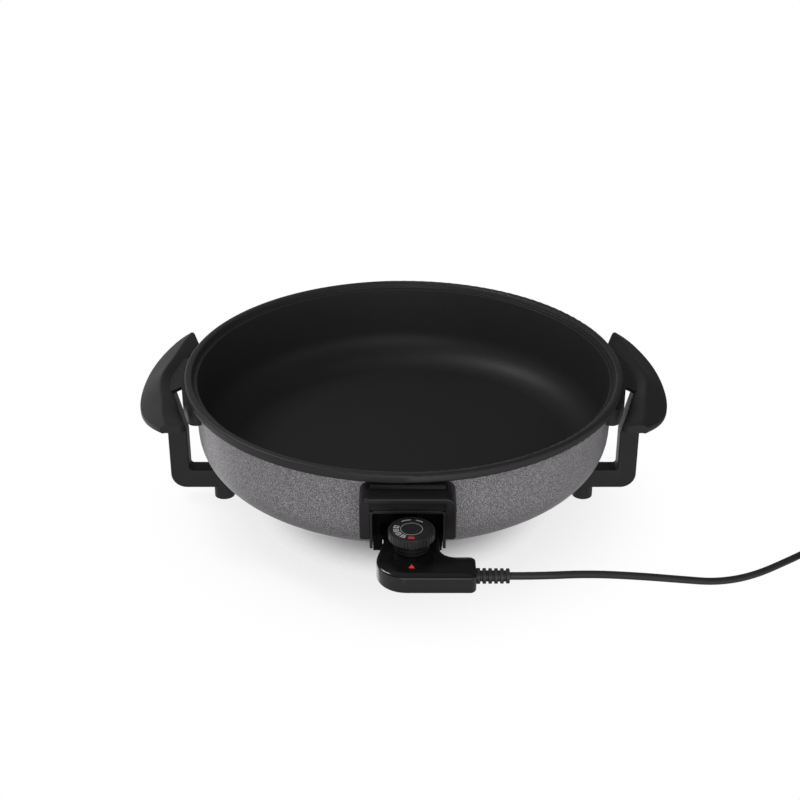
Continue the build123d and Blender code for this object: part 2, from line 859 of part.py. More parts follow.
# Right handle with its leg, bar and foot in one moulding, and the left one as its mirror image
with BuildPart() as right_handle:
    with BuildSketch(Plane.XZ):
        make_face(
            rounded(
                [
                    (foot_x, bar_z),
                    (leg_outer_x, bar_z),
                    (leg_outer_x, leg_bend_z),
                    (leg_outer_x + leg_flare, leg_top_z),
                    (leg_inner_x + leg_lean, leg_top_z),
                    (leg_inner_x, leg_bend_z),
                    (leg_inner_x, bar_top_z),
                    (foot_x, bar_top_z),
                ],
                [0, leg_corner_r, leg_bend_r, 0, 0, leg_bend_r, leg_throat_r, 0],
            )
        )
    extrude(amount=leg_depth / 2, both=True)
    fillet(right_handle.faces().filter_by(Axis.Y).edges(), leg_edge_r)
    reach_shares = zip(outer_shares, crest_shares, inner_shares)
    drop_shares = zip(outer_drop_shares, inner_drop_shares)
    half_stations = [
        (along, *reaches, *drops) for along, reaches, drops in zip(station_shares, reach_shares, drop_shares)
    ]
    stations = [(-row[0], *row[1:]) for row in reversed(half_stations[1:])] + half_stations
    for along, outer, crest, inner, outer_fall, inner_fall in stations:
        outer_x = rim_r + grip_reach * outer
        crest_x = rim_r + crest_reach * crest
        inner_x = rim_r + inner_reach * inner
        outer_z = crest_z - outer_drop * outer_fall
        inner_z = crest_z - inner_drop * inner_fall
        with BuildSketch(front_plane(-along * grip_span / 2)):
            make_face(
                rounded(
                    [
                        (inner_x, inner_z - grip_edge),
                        (crest_x, crest_z - grip_thickness),
                        (outer_x, outer_z - grip_edge),
                        (outer_x, outer_z),
                        (crest_x, crest_z),
                        (inner_x, inner_z),
                    ],
                    [grip_round, crest_round, grip_round, grip_round, crest_round, grip_round],
                )
            )
    loft()
    # Rounded inner corners of the grip's ends
    end_x = rim_r + inner_reach * inner_shares[-1]
    end_y = grip_span / 2
    with BuildSketch(Plane.XY.offset(crest_z - outer_drop - grip_thickness)):
        for side in (-1, 1):
            with BuildLine():
                corner = CenterArc(
                    (end_x + end_corner_r, side * (end_y - end_corner_r)), end_corner_r, side * 90, side * 90
                )
                Polyline(
                    corner @ 1,
                    corner @ 1 - (overrun, 0),
                    (end_x - overrun, side * (end_y + overrun)),
                    corner @ 0 + (0, side * overrun),
                    corner @ 0,
                )
            make_face()
    extrude(amount=outer_drop + 2 * grip_thickness, mode=Mode.SUBTRACT)
    add(handle_web())
    with BuildSketch(Plane.XY.offset(lug_z)):
        with BuildLine():
            lug_outer = CenterArc((0, 0), lug_r, -lug_half_angle, 2 * lug_half_angle)
            lug_inner = CenterArc((0, 0), wall_r + fit_gap, -lug_half_angle, 2 * lug_half_angle)
            Line(lug_outer @ 0, lug_inner @ 0)
            Line(lug_outer @ 1, lug_inner @ 1)
        lug_face = make_face()
        fillet(lug_face.vertices().sort_by_distance((0, 0))[-2:], lug_end_r)
    extrude(amount=band_z - lug_z)
    with BuildSketch(Plane.XY.offset(band_z - band_round)):
        Circle(wall_r + band_round + fit_gap)
    extrude(amount=band_round, mode=Mode.SUBTRACT)
    with BuildSketch(Plane.XY.offset(pad_lift)):
        with Locations(side_feet[1]):
            Circle(foot_d / 2)
    extrude(amount=boss_z - washer - pad_lift)
    with BuildSketch(Plane.XY.offset(pad_lift)):
        with Locations(side_feet[1]):
            Circle(foot_well_d / 2)
    extrude(amount=foot_well, mode=Mode.SUBTRACT)
    with BuildSketch(Plane.XY.offset(pad_lift)):
        with Locations(side_feet[1]):
            Circle(foot_screw_d / 2 + fit_gap)
    extrude(amount=boss_z, mode=Mode.SUBTRACT)
    with BuildSketch(Plane.XY.offset(lug_z)):
        with Locations(*rim_screw_places[:2]):
            Circle(rim_screw_head_d / 2 + slide_gap)
    extrude(amount=rim_screw_sink, mode=Mode.SUBTRACT)
    with BuildSketch(Plane.XY.offset(lug_z)):
        with Locations(*rim_screw_places[:2]):
            Circle(rim_screw_d / 2 + fit_gap)
    extrude(amount=rim_z - lug_z, mode=Mode.SUBTRACT)
right_handle.part.label = "right_handle"
export_step(right_handle.part, "parts/right_handle.step")

with BuildPart() as left_handle:
    mirror(right_handle.part, about=Plane.YZ)
left_handle.part.label = "left_handle"
export_step(left_handle.part, "parts/left_handle.step")

# Screws through the lugs and the guard's tab into the rim
with BuildPart() as rim_screws:
    head_z = lug_z + rim_screw_sink - rim_screw_head
    with BuildSketch(Plane.XY.offset(head_z)):
        with Locations(*rim_screw_places):
            Circle(rim_screw_head_d / 2)
    extrude(amount=rim_screw_head)
    with BuildSketch(Plane.XY.offset(head_z)):
        with Locations(*rim_screw_places):
            Circle(rim_screw_d / 2)
    extrude(amount=band_z + rim_screw_bite - head_z)
rim_screws.part.label = "rim_screws"
export_step(rim_screws.part, "parts/rim_screws.step")


# Front and rear feet
def slim_foot(place):
    """A foot post with a screw hole and a wider well below it."""
    with BuildPart() as foot:
        with BuildSketch(Plane.XY.offset(pad_lift)):
            with Locations(place):
                Circle(slim_foot_d / 2)
        extrude(amount=boss_z - washer - pad_lift)
        fillet(foot.edges().group_by(Axis.Z)[0], foot_round)
        with BuildSketch(Plane.XY.offset(pad_lift)):
            with Locations(place):
                Circle(foot_well_d / 2)
        extrude(amount=foot_well, mode=Mode.SUBTRACT)
        with BuildSketch(Plane.XY.offset(pad_lift)):
            with Locations(place):
                Circle(foot_screw_d / 2 + fit_gap)
        extrude(amount=boss_z, mode=Mode.SUBTRACT)
    return foot.part


for name, place in zip(("front_foot", "rear_foot"), slim_feet):
    with BuildPart() as foot_post:
        add(slim_foot(place))
    foot_post.part.label = name
    export_step(foot_post.part, f"parts/{name}.step")

# Washers, screws and rubber pads of all four feet
with BuildPart() as foot_washers:
    with BuildSketch(Plane.XY.offset(boss_z - washer)):
        with Locations(*side_feet, *slim_feet):
            Circle(slim_foot_d / 2)
            Circle(foot_screw_d / 2 + fit_gap, mode=Mode.SUBTRACT)
    extrude(amount=washer)
foot_washers.part.label = "foot_washers"
export_step(foot_washers.part, "parts/foot_washers.step")

with BuildPart() as foot_screws:
    with BuildSketch(Plane.XY.offset(pad_lift + foot_well - foot_screw_head)):
        with Locations(*side_feet, *slim_feet):
            Circle(foot_screw_head_d / 2)
    extrude(amount=foot_screw_head)
    with BuildSketch(Plane.XY.offset(pad_lift + foot_well)):
        with Locations(*side_feet, *slim_feet):
            Circle(foot_screw_d / 2)
    extrude(amount=boss_z + foot_screw_bite - pad_lift - foot_well)
foot_screws.part.label = "foot_screws"
export_step(foot_screws.part, "parts/foot_screws.step")

with BuildPart() as foot_pads:
    with BuildSketch(Plane.XY):
        with Locations(*side_feet, *slim_feet):
            Circle(pad_d / 2)
    extrude(amount=pad_lift)
    with BuildSketch(Plane.XY.offset(pad_lift)):
        with Locations(*side_feet, *slim_feet):
            Circle(foot_well_d / 2 - fit_gap)
    extrude(amount=pad_plug)
foot_pads.part.label = "foot_pads"
export_step(foot_pads.part, "parts/foot_pads.step")

# Thermostat case in two shells
case_points = [
    (neck_left, neck_end_y),
    (neck_left, flare_back_y),
    (arm_left, flare_front_y),
    (arm_left, arm_front_y),
    (arm_right, arm_front_y),
    (arm_right, arm_back_y),
    (neck_right, arm_back_y),
    (neck_right, neck_end_y),
]
case_radii = [neck_round, flare_r, flare_r, arm_corner_r, arm_round, arm_round, throat_r, neck_round]
flare_shift = case_wall * tan(atan2(arm_flare, flare_end - flare_start) / 2)
pocket_points = [
    (neck_left + case_wall, neck_end_y - case_wall),
    (neck_left + case_wall, flare_back_y - flare_shift),
    (arm_left + case_wall, flare_front_y - flare_shift),
    (arm_left + case_wall, arm_front_y + case_wall),
    (arm_right - case_wall, arm_front_y + case_wall),
    (arm_right - case_wall, arm_back_y - case_wall),
    (neck_right - case_wall, arm_back_y - case_wall),
    (neck_right - case_wall, neck_end_y - case_wall),
]
pocket_radii = [
    neck_round - case_wall,
    flare_r + case_wall,
    flare_r - case_wall,
    arm_corner_r - case_wall,
    arm_round - case_wall,
    arm_round - case_wall,
    throat_r + case_wall,
    neck_round - case_wall,
]
lens_points = [
    (dial_x - lens_width / 2, lens_y - lens_length / 2),
    (dial_x + lens_width / 2, lens_y - lens_length / 2),
    (dial_x, lens_y + lens_length / 2),
]

with BuildPart() as thermostat_top:
    with BuildSketch(Plane.XY.offset(case_split_z)):
        make_face(rounded(case_points, case_radii))
    extrude(amount=case_height / 2)
    fillet(thermostat_top.faces().sort_by(Axis.Z)[-1].edges(), case_round)
    with BuildSketch(Plane.XY.offset(case_split_z)):
        make_face(rounded(pocket_points, pocket_radii))
    extrude(amount=case_height / 2 - case_wall, mode=Mode.SUBTRACT)
    with BuildSketch(Plane.XY.offset(case_split_z)):
        with Locations(*case_screw_places):
            Circle(case_boss_d / 2)
    extrude(amount=case_height / 2 - case_wall / 2)
    with BuildSketch(Plane.XY.offset(case_split_z)):
        with Locations(*case_screw_places):
            Circle(case_screw_d / 2 + fit_gap)
    extrude(amount=case_screw_bite + fit_gap, mode=Mode.SUBTRACT)
    with BuildSketch(Plane.XY.offset(ceiling_z)):
        with Locations((dial_x, dial_y)):
            Circle(collar_d / 2)
    extrude(amount=case_wall)
    with BuildSketch(Plane.XY.offset(case_top_z)):
        with Locations((dial_x, dial_y)):
            Circle(collar_d / 2 - collar_groove)
    extrude(amount=collar_height)
    for ring in range(1, collar_rings + 1):
        with BuildSketch(Plane.XY.offset(case_top_z + collar_height * ring / collar_rings)):
            with Locations((dial_x, dial_y)):
                Circle(collar_d / 2)
        extrude(amount=-collar_ring_share * collar_height / collar_rings)
    with BuildSketch(Plane.XY.offset(ceiling_z)):
        with Locations((dial_x, dial_y)):
            Circle(bush_d / 2 + fit_gap)
    extrude(amount=bush_top_z - ceiling_z, mode=Mode.SUBTRACT)
    with BuildSketch(Plane.XY.offset(ceiling_z)):
        with BuildLine():
            Polyline(*lens_points, close=True)
        make_face()
        offset(amount=fit_gap, mode=Mode.REPLACE)
    extrude(amount=2 * case_wall, mode=Mode.SUBTRACT)
    with BuildSketch(front_plane(-neck_end_y + overrun)):
        with Locations(*[(x, pin_z) for x in pin_xs]):
            Circle(mouth_d / 2)
        with Locations((inlet_x, pin_z)):
            Circle(probe_d / 2 + fit_gap)
    extrude(amount=-2 * overrun - case_wall, mode=Mode.SUBTRACT)
    with BuildSketch(Plane.YZ.offset(arm_right + overrun)):
        with Locations((cord_y, cord_z)):
            Circle(relief_neck_d / 2 + fit_gap)
    extrude(amount=-2 * overrun - case_wall, mode=Mode.SUBTRACT)
thermostat_top.part.label = "thermostat_top"
export_step(thermostat_top.part, "parts/thermostat_top.step")

with BuildPart() as thermostat_bottom:
    with BuildSketch(Plane.XY.offset(case_z)):
        make_face(rounded(case_points, case_radii))
    extrude(amount=case_height / 2)
    fillet(thermostat_bottom.faces().sort_by(Axis.Z)[0].edges(), case_round)
    with BuildSketch(Plane.XY.offset(pocket_z)):
        make_face(rounded(pocket_points, pocket_radii))
    extrude(amount=case_height / 2 - case_wall, mode=Mode.SUBTRACT)
    with BuildSketch(Plane.XY.offset(pocket_z)):
        with Locations(*case_screw_places):
            Circle(case_boss_d / 2)
    extrude(amount=case_height / 2 - case_wall)
    with BuildSketch(Plane.XY.offset(case_z)):
        with Locations(*case_screw_places):
            Circle(case_screw_d / 2 + fit_gap)
    extrude(amount=case_height / 2, mode=Mode.SUBTRACT)
    with BuildSketch(Plane.XY.offset(case_z)):
        with Locations(*case_screw_places):
            Circle(case_screw_head_d / 2 + fit_gap)
    extrude(amount=case_screw_sink, mode=Mode.SUBTRACT)
    # Pivots of the spindle and the lever, each on a shoulder
    with BuildSketch(Plane.XY.offset(pocket_z)):
        with Locations((dial_x, dial_y), (lever_x, lever_y)):
            Circle(shoulder_d / 2)
    extrude(amount=spindle_z - slide_gap - pocket_z)
    with BuildSketch(Plane.XY.offset(pocket_z)):
        with Locations((dial_x, dial_y)):
            Circle(pivot_d / 2)
    extrude(amount=spindle_z + pivot_depth - pivot_play - pocket_z)
    with BuildSketch(Plane.XY.offset(pocket_z)):
        with Locations((lever_x, lever_y)):
            Circle(pivot_d / 2)
    extrude(amount=cam_z + 2 * cam - pocket_z)
    # Ring round the lamp, and posts and rest of the cord clamp
    with BuildSketch(Plane.XY.offset(pocket_z)):
        with Locations((dial_x - lamp_shift, lens_y)):
            Circle(lamp_d / 2 + lamp_ring)
            Circle(lamp_d / 2 + fit_gap, mode=Mode.SUBTRACT)
    extrude(amount=lamp_ring_height)
    with BuildSketch(Plane.XY.offset(pocket_z)):
        with Locations((clamp_x, cord_y)):
            with GridLocations(0, 2 * clamp_screw_y, 1, 2):
                Circle(clamp_post_d / 2)
    extrude(amount=clamp_post)
    with BuildSketch(Plane.XY.offset(pocket_z)):
        with Locations((clamp_x, cord_y)):
            Rectangle(clamp_width, cord_d)
    extrude(amount=clamp_post)
    with BuildSketch(Plane.YZ.offset(clamp_x - clamp_width)):
        with Locations((cord_y, cord_z)):
            Circle(cord_d / 2 + fit_gap)
    extrude(amount=2 * clamp_width, mode=Mode.SUBTRACT)
    with BuildSketch(Plane.XY.offset(pocket_z + clamp_post)):
        with Locations((clamp_x, cord_y)):
            with GridLocations(0, 2 * clamp_screw_y, 1, 2):
                Circle(clamp_screw_d / 2 + fit_gap)
    extrude(amount=-clamp_screw_bite - fit_gap, mode=Mode.SUBTRACT)
    with BuildSketch(front_plane(-neck_end_y + overrun)):
        with Locations(*[(x, pin_z) for x in pin_xs]):
            Circle(mouth_d / 2)
        with Locations((inlet_x, pin_z)):
            Circle(probe_d / 2 + fit_gap)
    extrude(amount=-2 * overrun - case_wall, mode=Mode.SUBTRACT)
    with BuildSketch(Plane.YZ.offset(arm_right + overrun)):
        with Locations((cord_y, cord_z)):
            Circle(relief_neck_d / 2 + fit_gap)
    extrude(amount=-2 * overrun - case_wall, mode=Mode.SUBTRACT)
thermostat_bottom.part.label = "thermostat_bottom"
export_step(thermostat_bottom.part, "parts/thermostat_bottom.step")

with BuildPart() as case_screws:
    with BuildSketch(Plane.XY.offset(case_z + case_screw_sink - case_screw_head)):
        with Locations(*case_screw_places):
            Circle(case_screw_head_d / 2)
    extrude(amount=case_screw_head)
    with BuildSketch(Plane.XY.offset(case_z + case_screw_sink)):
        with Locations(*case_screw_places):
            Circle(case_screw_d / 2)
    extrude(amount=case_split_z + case_screw_bite - case_z - case_screw_sink)
case_screws.part.label = "case_screws"
export_step(case_screws.part, "parts/case_screws.step")

# Contact block with the two sockets, the probe and its rod
socket_start_y = -neck_end_y + case_wall + fit_gap
with BuildPart() as contact_block:
    with BuildSketch(front_plane(-block_front_y)):
        with Locations((block_left, pocket_z)):
            Rectangle(block_right - block_left, block_height, align=(Align.MIN, Align.MIN))
        with Locations(*[(x, pin_z) for x in pin_xs]):
            Circle(socket_d / 2 + fit_gap, mode=Mode.SUBTRACT)
        with Locations((inlet_x, pin_z)):
            Circle(probe_d / 2 + fit_gap, mode=Mode.SUBTRACT)
    extrude(amount=block_front_y - block_back_y)
contact_block.part.label = "contact_block"
export_step(contact_block.part, "parts/contact_block.step")

with BuildPart() as contact_sockets:
    with BuildSketch(front_plane(socket_start_y)):
        with Locations(*[(x, pin_z) for x in pin_xs]):
            Circle(socket_d / 2)
    extrude(amount=socket_length)
    with BuildSketch(front_plane(socket_start_y)):
        with Locations(*[(x, pin_z) for x in pin_xs]):
            Circle(pin_d / 2 + fit_gap)
    extrude(amount=socket_bore, mode=Mode.SUBTRACT)
contact_sockets.part.label = "contact_sockets"
export_step(contact_sockets.part, "parts/contact_sockets.step")

with BuildPart() as probe_tube:
    with BuildSketch(front_plane(probe_y)):
        with Locations((inlet_x, pin_z)):
            Circle(probe_d / 2)
    extrude(amount=rod_length)
    fillet(probe_tube.edges().group_by(Axis.Y)[-1], probe_tip)
    with BuildSketch(front_plane(probe_y + probe_tip)):
        with Locations((inlet_x, pin_z)):
            Circle(probe_bore_d / 2)
    extrude(amount=rod_length, mode=Mode.SUBTRACT)
probe_tube.part.label = "probe_tube"
export_step(probe_tube.part, "parts/probe_tube.step")

with BuildPart() as probe_rod:
    with BuildSketch(front_plane(probe_y + probe_tip)):
        with Locations((inlet_x, pin_z)):
            Circle(rod_d / 2)
    extrude(amount=rod_length)
probe_rod.part.label = "probe_rod"
export_step(probe_rod.part, "parts/probe_rod.step")

# Earth springs bowed out of the neck's sides
with BuildPart() as earth_springs:
    for side_x, out in ((neck_left, -1), (neck_right, 1)):
        with BuildSketch(Plane.XY.offset(pin_z - spring_height / 2)):
            with BuildLine():
                back_y = spring_y + spring_half_length
                front_y = spring_y - spring_half_length
                foot = spring_leaf * 2
                ThreePointArc((side_x, back_y), (side_x + out * spring_proud, spring_y), (side_x, front_y))
                Line((side_x, front_y), (side_x, front_y + foot))
                ThreePointArc(
                    (side_x, front_y + foot),
                    (side_x + out * (spring_proud - spring_leaf), spring_y),
                    (side_x, back_y - foot),
                )
                Line((side_x, back_y - foot), (side_x, back_y))
            make_face()
        extrude(amount=spring_height)
earth_springs.part.label = "earth_springs"
export_step(earth_springs.part, "parts/earth_springs.step")

# Dial with its cap, bush, and spindle with the cam
with BuildPart() as dial_knob:
    with BuildSketch(Plane.XY.offset(dial_z)):
        with Locations((dial_x, dial_y)):
            Circle(dial_d / 2)
            with PolarLocations(dial_d / 2, dial_flutes):
                Circle(dial_flute_d / 2, mode=Mode.SUBTRACT)
    extrude(amount=dial_height - dial_edge)
    with BuildSketch(Plane.XY.offset(dial_z + dial_height - dial_edge)):
        with Locations((dial_x, dial_y)):
            Circle(dial_d / 2 - dial_flute_d / 2)
    extrude(amount=dial_edge)
    with BuildSketch(Plane.XY.offset(dial_z)):
        with Locations((dial_x, dial_y)):
            Circle(dial_d / 2 - dial_wall)
            Circle(dial_hub_d / 2, mode=Mode.SUBTRACT)
    extrude(amount=dial_height - dial_crown, mode=Mode.SUBTRACT)
    with BuildSketch(Plane.XY.offset(dial_z)):
        with Locations((dial_x, dial_y)):
            Circle(dial_hub_d / 2)
    extrude(amount=dial_hub_rise, mode=Mode.SUBTRACT)
    with BuildSketch(Plane.XY.offset(dial_z)):
        with Locations((dial_x, dial_y)):
            Circle(spindle_d / 2 + fit_gap)
    extrude(amount=dial_height - cap, mode=Mode.SUBTRACT)
    with BuildSketch(Plane.XY.offset(dial_z + dial_height - cap)):
        with Locations((dial_x, dial_y)):
            Circle(cap_d / 2 + fit_gap)
    extrude(amount=cap, mode=Mode.SUBTRACT)
dial_knob.part.label = "dial_knob"
export_step(dial_knob.part, "parts/dial_knob.step")

with BuildPart() as dial_cap:
    with BuildSketch(Plane.XY.offset(dial_z + dial_height - cap)):
        with Locations((dial_x, dial_y)):
            Circle(cap_d / 2)
    extrude(amount=cap)
    chamfer(dial_cap.edges().group_by(Axis.Z)[-1], cap / 3)
dial_cap.part.label = "dial_cap"
export_step(dial_cap.part, "parts/dial_cap.step")

with BuildPart() as dial_bush:
    with BuildSketch(Plane.XY.offset(ceiling_z - bush_flange)):
        with Locations((dial_x, dial_y)):
            Circle(bush_flange_d / 2)
    extrude(amount=bush_flange)
    with BuildSketch(Plane.XY.offset(ceiling_z)):
        with Locations((dial_x, dial_y)):
            Circle(bush_d / 2)
    extrude(amount=bush_top_z - ceiling_z)
    with BuildSketch(Plane.XY.offset(ceiling_z - bush_flange)):
        with Locations((dial_x, dial_y)):
            Circle(spindle_d / 2 + fit_gap)
    extrude(amount=bush_flange + bush_top_z - ceiling_z, mode=Mode.SUBTRACT)
dial_bush.part.label = "dial_bush"
export_step(dial_bush.part, "parts/dial_bush.step")


def cam_radius(angle):
    """Radius of the cam at an angle behind the lever's nose, in degrees from 0 to 360."""
    if angle <= dial_range:
        return cam_r + cam_rise * angle / dial_range
    if angle <= dial_range + cam_hold:
        return cam_r + cam_rise
    fall = (angle - dial_range - cam_hold) / (360 - cam_rest - dial_range - cam_hold)
    return cam_r + cam_rise * max(0, 1 - fall)


with BuildPart() as dial_spindle:
    with BuildSketch(Plane.XY.offset(spindle_z)):
        with Locations((dial_x, dial_y)):
            Circle(spindle_d / 2)
            Circle(pivot_d / 2 + fit_gap, mode=Mode.SUBTRACT)
    extrude(amount=pivot_depth)
    with BuildSketch(Plane.XY.offset(spindle_z + pivot_depth)):
        with Locations((dial_x, dial_y)):
            Circle(spindle_d / 2)
    extrude(amount=dial_z + dial_height - cap - spindle_z - pivot_depth)
    with BuildSketch(Plane.XY.offset(cam_z)):
        with BuildLine():
            steps = [cam_step * i for i in range(round(360 / cam_step))]
            Spline(
                *[
                    (
                        dial_x + cam_radius(step) * cos(radians(-step)),
                        dial_y + cam_radius(step) * sin(radians(-step)),
                    )
                    for step in steps
                ],
                periodic=True,
            )
        make_face()
        with Locations((dial_x, dial_y)):
            Circle(spindle_d / 2 - fit_gap, mode=Mode.SUBTRACT)
    extrude(amount=cam)
dial_spindle.part.label = "dial_spindle"
export_step(dial_spindle.part, "parts/dial_spindle.step")

# Contact lever that follows the cam, and the fixed contact beside its tail
tail_y = lever_y - lever_tail
with BuildPart() as contact_lever:
    with BuildSketch(Plane.XY.offset(cam_z)):
        with Locations((lever_x, (dial_y + tail_y) / 2)):
            Rectangle(lever_width, dial_y - tail_y)
        with Locations((lever_x, dial_y)):
            Circle(lever_nose_r)
        with Locations((lever_x, lever_y)):
            Circle(lever_hub_d / 2)
            Circle(pivot_d / 2 + fit_gap, mode=Mode.SUBTRACT)
    extrude(amount=cam)
    with BuildSketch(Plane.YZ.offset(lever_x - lever_width / 2)):
        with Locations((tail_y + contact_d / 2, cam_z + cam / 2)):
            Circle(cam / 2)
    extrude(amount=-contact)
contact_lever.part.label = "contact_lever"
export_step(contact_lever.part, "parts/contact_lever.step")

blade_x = lever_x - lever_width / 2 - 2 * contact - contact_gap
with BuildPart() as fixed_contact:
    with BuildSketch(Plane.XY.offset(pocket_z)):
        with Locations((blade_x, tail_y)):
            Rectangle(blade, blade_width, align=(Align.MAX, Align.CENTER))
    extrude(amount=blade_height)
    with BuildSketch(Plane.YZ.offset(blade_x)):
        with Locations((tail_y + contact_d / 2, cam_z + cam / 2)):
            Circle(contact_d / 2)
    extrude(amount=contact)
fixed_contact.part.label = "fixed_contact"
export_step(fixed_contact.part, "parts/fixed_contact.step")

# Red pointer lens and the lamp under it
with BuildPart() as pointer_lens:
    with BuildSketch(Plane.XY.offset(ceiling_z)):
        with BuildLine():
            Polyline(*lens_points, close=True)
        make_face()
    extrude(amount=case_wall + lens_proud)
    with BuildSketch(Plane.XY.offset(ceiling_z - lens_lip)):
        with BuildLine():
            Polyline(*lens_points, close=True)
        make_face()
        offset(amount=lens_lip, mode=Mode.REPLACE)
    extrude(amount=lens_lip)
pointer_lens.part.label = "pointer_lens"
export_step(pointer_lens.part, "parts/pointer_lens.step")

with BuildPart() as neon_lamp:
    with BuildSketch(Plane.XY.offset(pocket_z)):
        with Locations((dial_x - lamp_shift, lens_y)):
            Circle(lamp_d / 2)
    extrude(amount=lamp_height)
    fillet(neon_lamp.edges().group_by(Axis.Z)[-1], lamp_d / 3)
neon_lamp.part.label = "neon_lamp"
export_step(neon_lamp.part, "parts/neon_lamp.step")

# Cord clamp and its screws
clamp_foot_z = pocket_z + clamp_post
with BuildPart() as cord_clamp:
    with BuildSketch(Plane.YZ.offset(clamp_x)):
        with Locations((cord_y, cord_z)):
            Circle(cord_d / 2 + fit_gap + clamp)
            Circle(cord_d / 2 + fit_gap, mode=Mode.SUBTRACT)
        with Locations((cord_y, clamp_foot_z + clamp / 2)):
            Rectangle(2 * clamp_half_span, clamp)
        with Locations((cord_y, cord_z)):
            Circle(cord_d / 2 + fit_gap, mode=Mode.SUBTRACT)
        with Locations((cord_y, clamp_foot_z)):
            Rectangle(2 * clamp_half_span, cord_d, align=(Align.CENTER, Align.MAX), mode=Mode.SUBTRACT)
    extrude(amount=clamp_width / 2, both=True)
    with BuildSketch(Plane.XY.offset(clamp_foot_z)):
        with Locations((clamp_x, cord_y)):
            with GridLocations(0, 2 * clamp_screw_y, 1, 2):
                Circle(clamp_screw_d / 2 + fit_gap)
    extrude(amount=clamp, mode=Mode.SUBTRACT)
cord_clamp.part.label = "cord_clamp"
export_step(cord_clamp.part, "parts/cord_clamp.step")

with BuildPart() as clamp_screws:
    with BuildSketch(Plane.XY.offset(clamp_foot_z + clamp)):
        with Locations((clamp_x, cord_y)):
            with GridLocations(0, 2 * clamp_screw_y, 1, 2):
                Circle(clamp_screw_head_d / 2)
    extrude(amount=clamp_screw_head)
    with BuildSketch(Plane.XY.offset(clamp_foot_z + clamp)):
        with Locations((clamp_x, cord_y)):
            with GridLocations(0, 2 * clamp_screw_y, 1, 2):
                Circle(clamp_screw_d / 2)
    extrude(amount=-clamp - clamp_screw_bite)
clamp_screws.part.label = "clamp_screws"
export_step(clamp_screws.part, "parts/clamp_screws.step")

# Leads inside the case
with BuildPart() as internal_leads:
    for shifts in lead_routes:
        route = [(dial_x + x, dial_y + y, pin_z + z) for x, y, z in shifts]
        with BuildLine() as lead_line:
            FilletPolyline(*route, radius=route_radii(route))
        with BuildSketch(Plane(origin=lead_line.line @ 0, z_dir=lead_line.line % 0)):
            Circle(lead_d / 2)
        sweep()
internal_leads.part.label = "internal_leads"
export_step(internal_leads.part, "parts/internal_leads.step")

# End of the mains lead inside the case and the strain relief
with BuildPart() as cord_tail:
    with BuildSketch(Plane.YZ.offset(tail_x)):
        with Locations((cord_y, cord_z)):
            Circle(cord_d / 2)
    extrude(amount=relief_end_x - tail_x)
cord_tail.part.label = "cord_tail"
export_step(cord_tail.part, "parts/cord_tail.step")

relief_plane = Plane(origin=(0, cord_y, cord_z), x_dir=(1, 0, 0), z_dir=(0, -1, 0))
rib_start_x = arm_right + fit_gap + relief_collar
rib_pitch = (relief_end_x - rib_start_x) / relief_ribs
relief_points = [
    (relief_x, cord_d / 2 + fit_gap),
    (relief_x, relief_flange_d / 2),
    (arm_right - case_wall - fit_gap, relief_flange_d / 2),
    (arm_right - case_wall - fit_gap, relief_neck_d / 2),
    (arm_right + fit_gap, relief_neck_d / 2),
    (arm_right + fit_gap, relief_d / 2),
    (rib_start_x, relief_d / 2),
]
for rib in range(relief_ribs):
    rib_x = rib_start_x + rib_pitch * (rib + 1)
    rib_d = relief_d + (relief_tip_d - relief_d) * (rib + 1) / relief_ribs
    rib_width = rib_pitch * relief_rib_share
    relief_points += [
        (rib_x - rib_pitch, relief_core_d / 2),
        (rib_x - rib_width, relief_core_d / 2),
        (rib_x - rib_width, rib_d / 2),
        (rib_x, rib_d / 2),
    ]
relief_points.append((relief_end_x, cord_d / 2 + fit_gap))
with BuildPart() as strain_relief:
    with BuildSketch(relief_plane):
        with BuildLine():
            Polyline(*relief_points, close=True)
        make_face()
    revolve(axis=Axis((0, cord_y, cord_z), (1, 0, 0)))
strain_relief.part.label = "strain_relief"
export_step(strain_relief.part, "parts/strain_relief.step")

# Mains lead: the free run, the coil of the rest, and the run to the plug
heading = Vector(cos(radians(cord_heading)), sin(radians(cord_heading)), 0)
coil_r = coil_d / 2
cord_points = [
    Vector(relief_end_x + x, cord_y + y, cord_rest_z + share * (cord_z - cord_rest_z))
    for x, y, share in cord_route
]
coil_start = cord_points[-1] + heading * cord_last_run
coil_centre = coil_start + heading.rotate(Axis.Z, -90) * coil_r + heading * cord_d
full_route = (*cord_points, coil_start)
cord_radii = route_radii(full_route)
print("supply cord radii", [round(r, 1) for r in cord_radii])
with BuildPart() as supply_cord:
    with BuildLine() as cord_line:
        FilletPolyline(*full_route, radius=cord_radii)
    with BuildSketch(Plane(origin=cord_line.line @ 0, z_dir=cord_line.line % 0)):
        Circle(cord_d / 2)
    sweep()
cord_length = sum(edge.length for edge in cord_line.edges())
cord_volume = cord_length * pi * cord_d**2 / 4
print("supply cord", round(cord_length, 1), "volume share", supply_cord.part.volume / cord_volume)
supply_cord.part.label = "supply_cord"
export_step(supply_cord.part, "parts/supply_cord.step")

climb_start = (coil_turns - coil_climb) / 2


def coil_point(turn):
    """A point of the coil after so many turns: in on the lower layer, up, and out on the upper one."""
    angle = radians(cord_heading + 90 - 360 * turn)
    rise = min(max((turn - climb_start) / coil_climb, 0), 1)
    past = rise * coil_climb
    inward = coil_step * min(turn, climb_start)
    reverse = coil_step * (past - past**2 / coil_climb)
    outward = coil_step * max(turn - climb_start - coil_climb, 0)
    radius = coil_r - inward - reverse + outward
    height = coil_step * rise**2 * (3 - 2 * rise)
    return coil_centre + Vector(radius * cos(angle), radius * sin(angle), height)


def coil_tangent(turn):
    """The coil's direction at a turn, from two points close by."""
    near = coil_climb / 1000
    return (coil_point(turn + near) - coil_point(turn - near)).normalized()


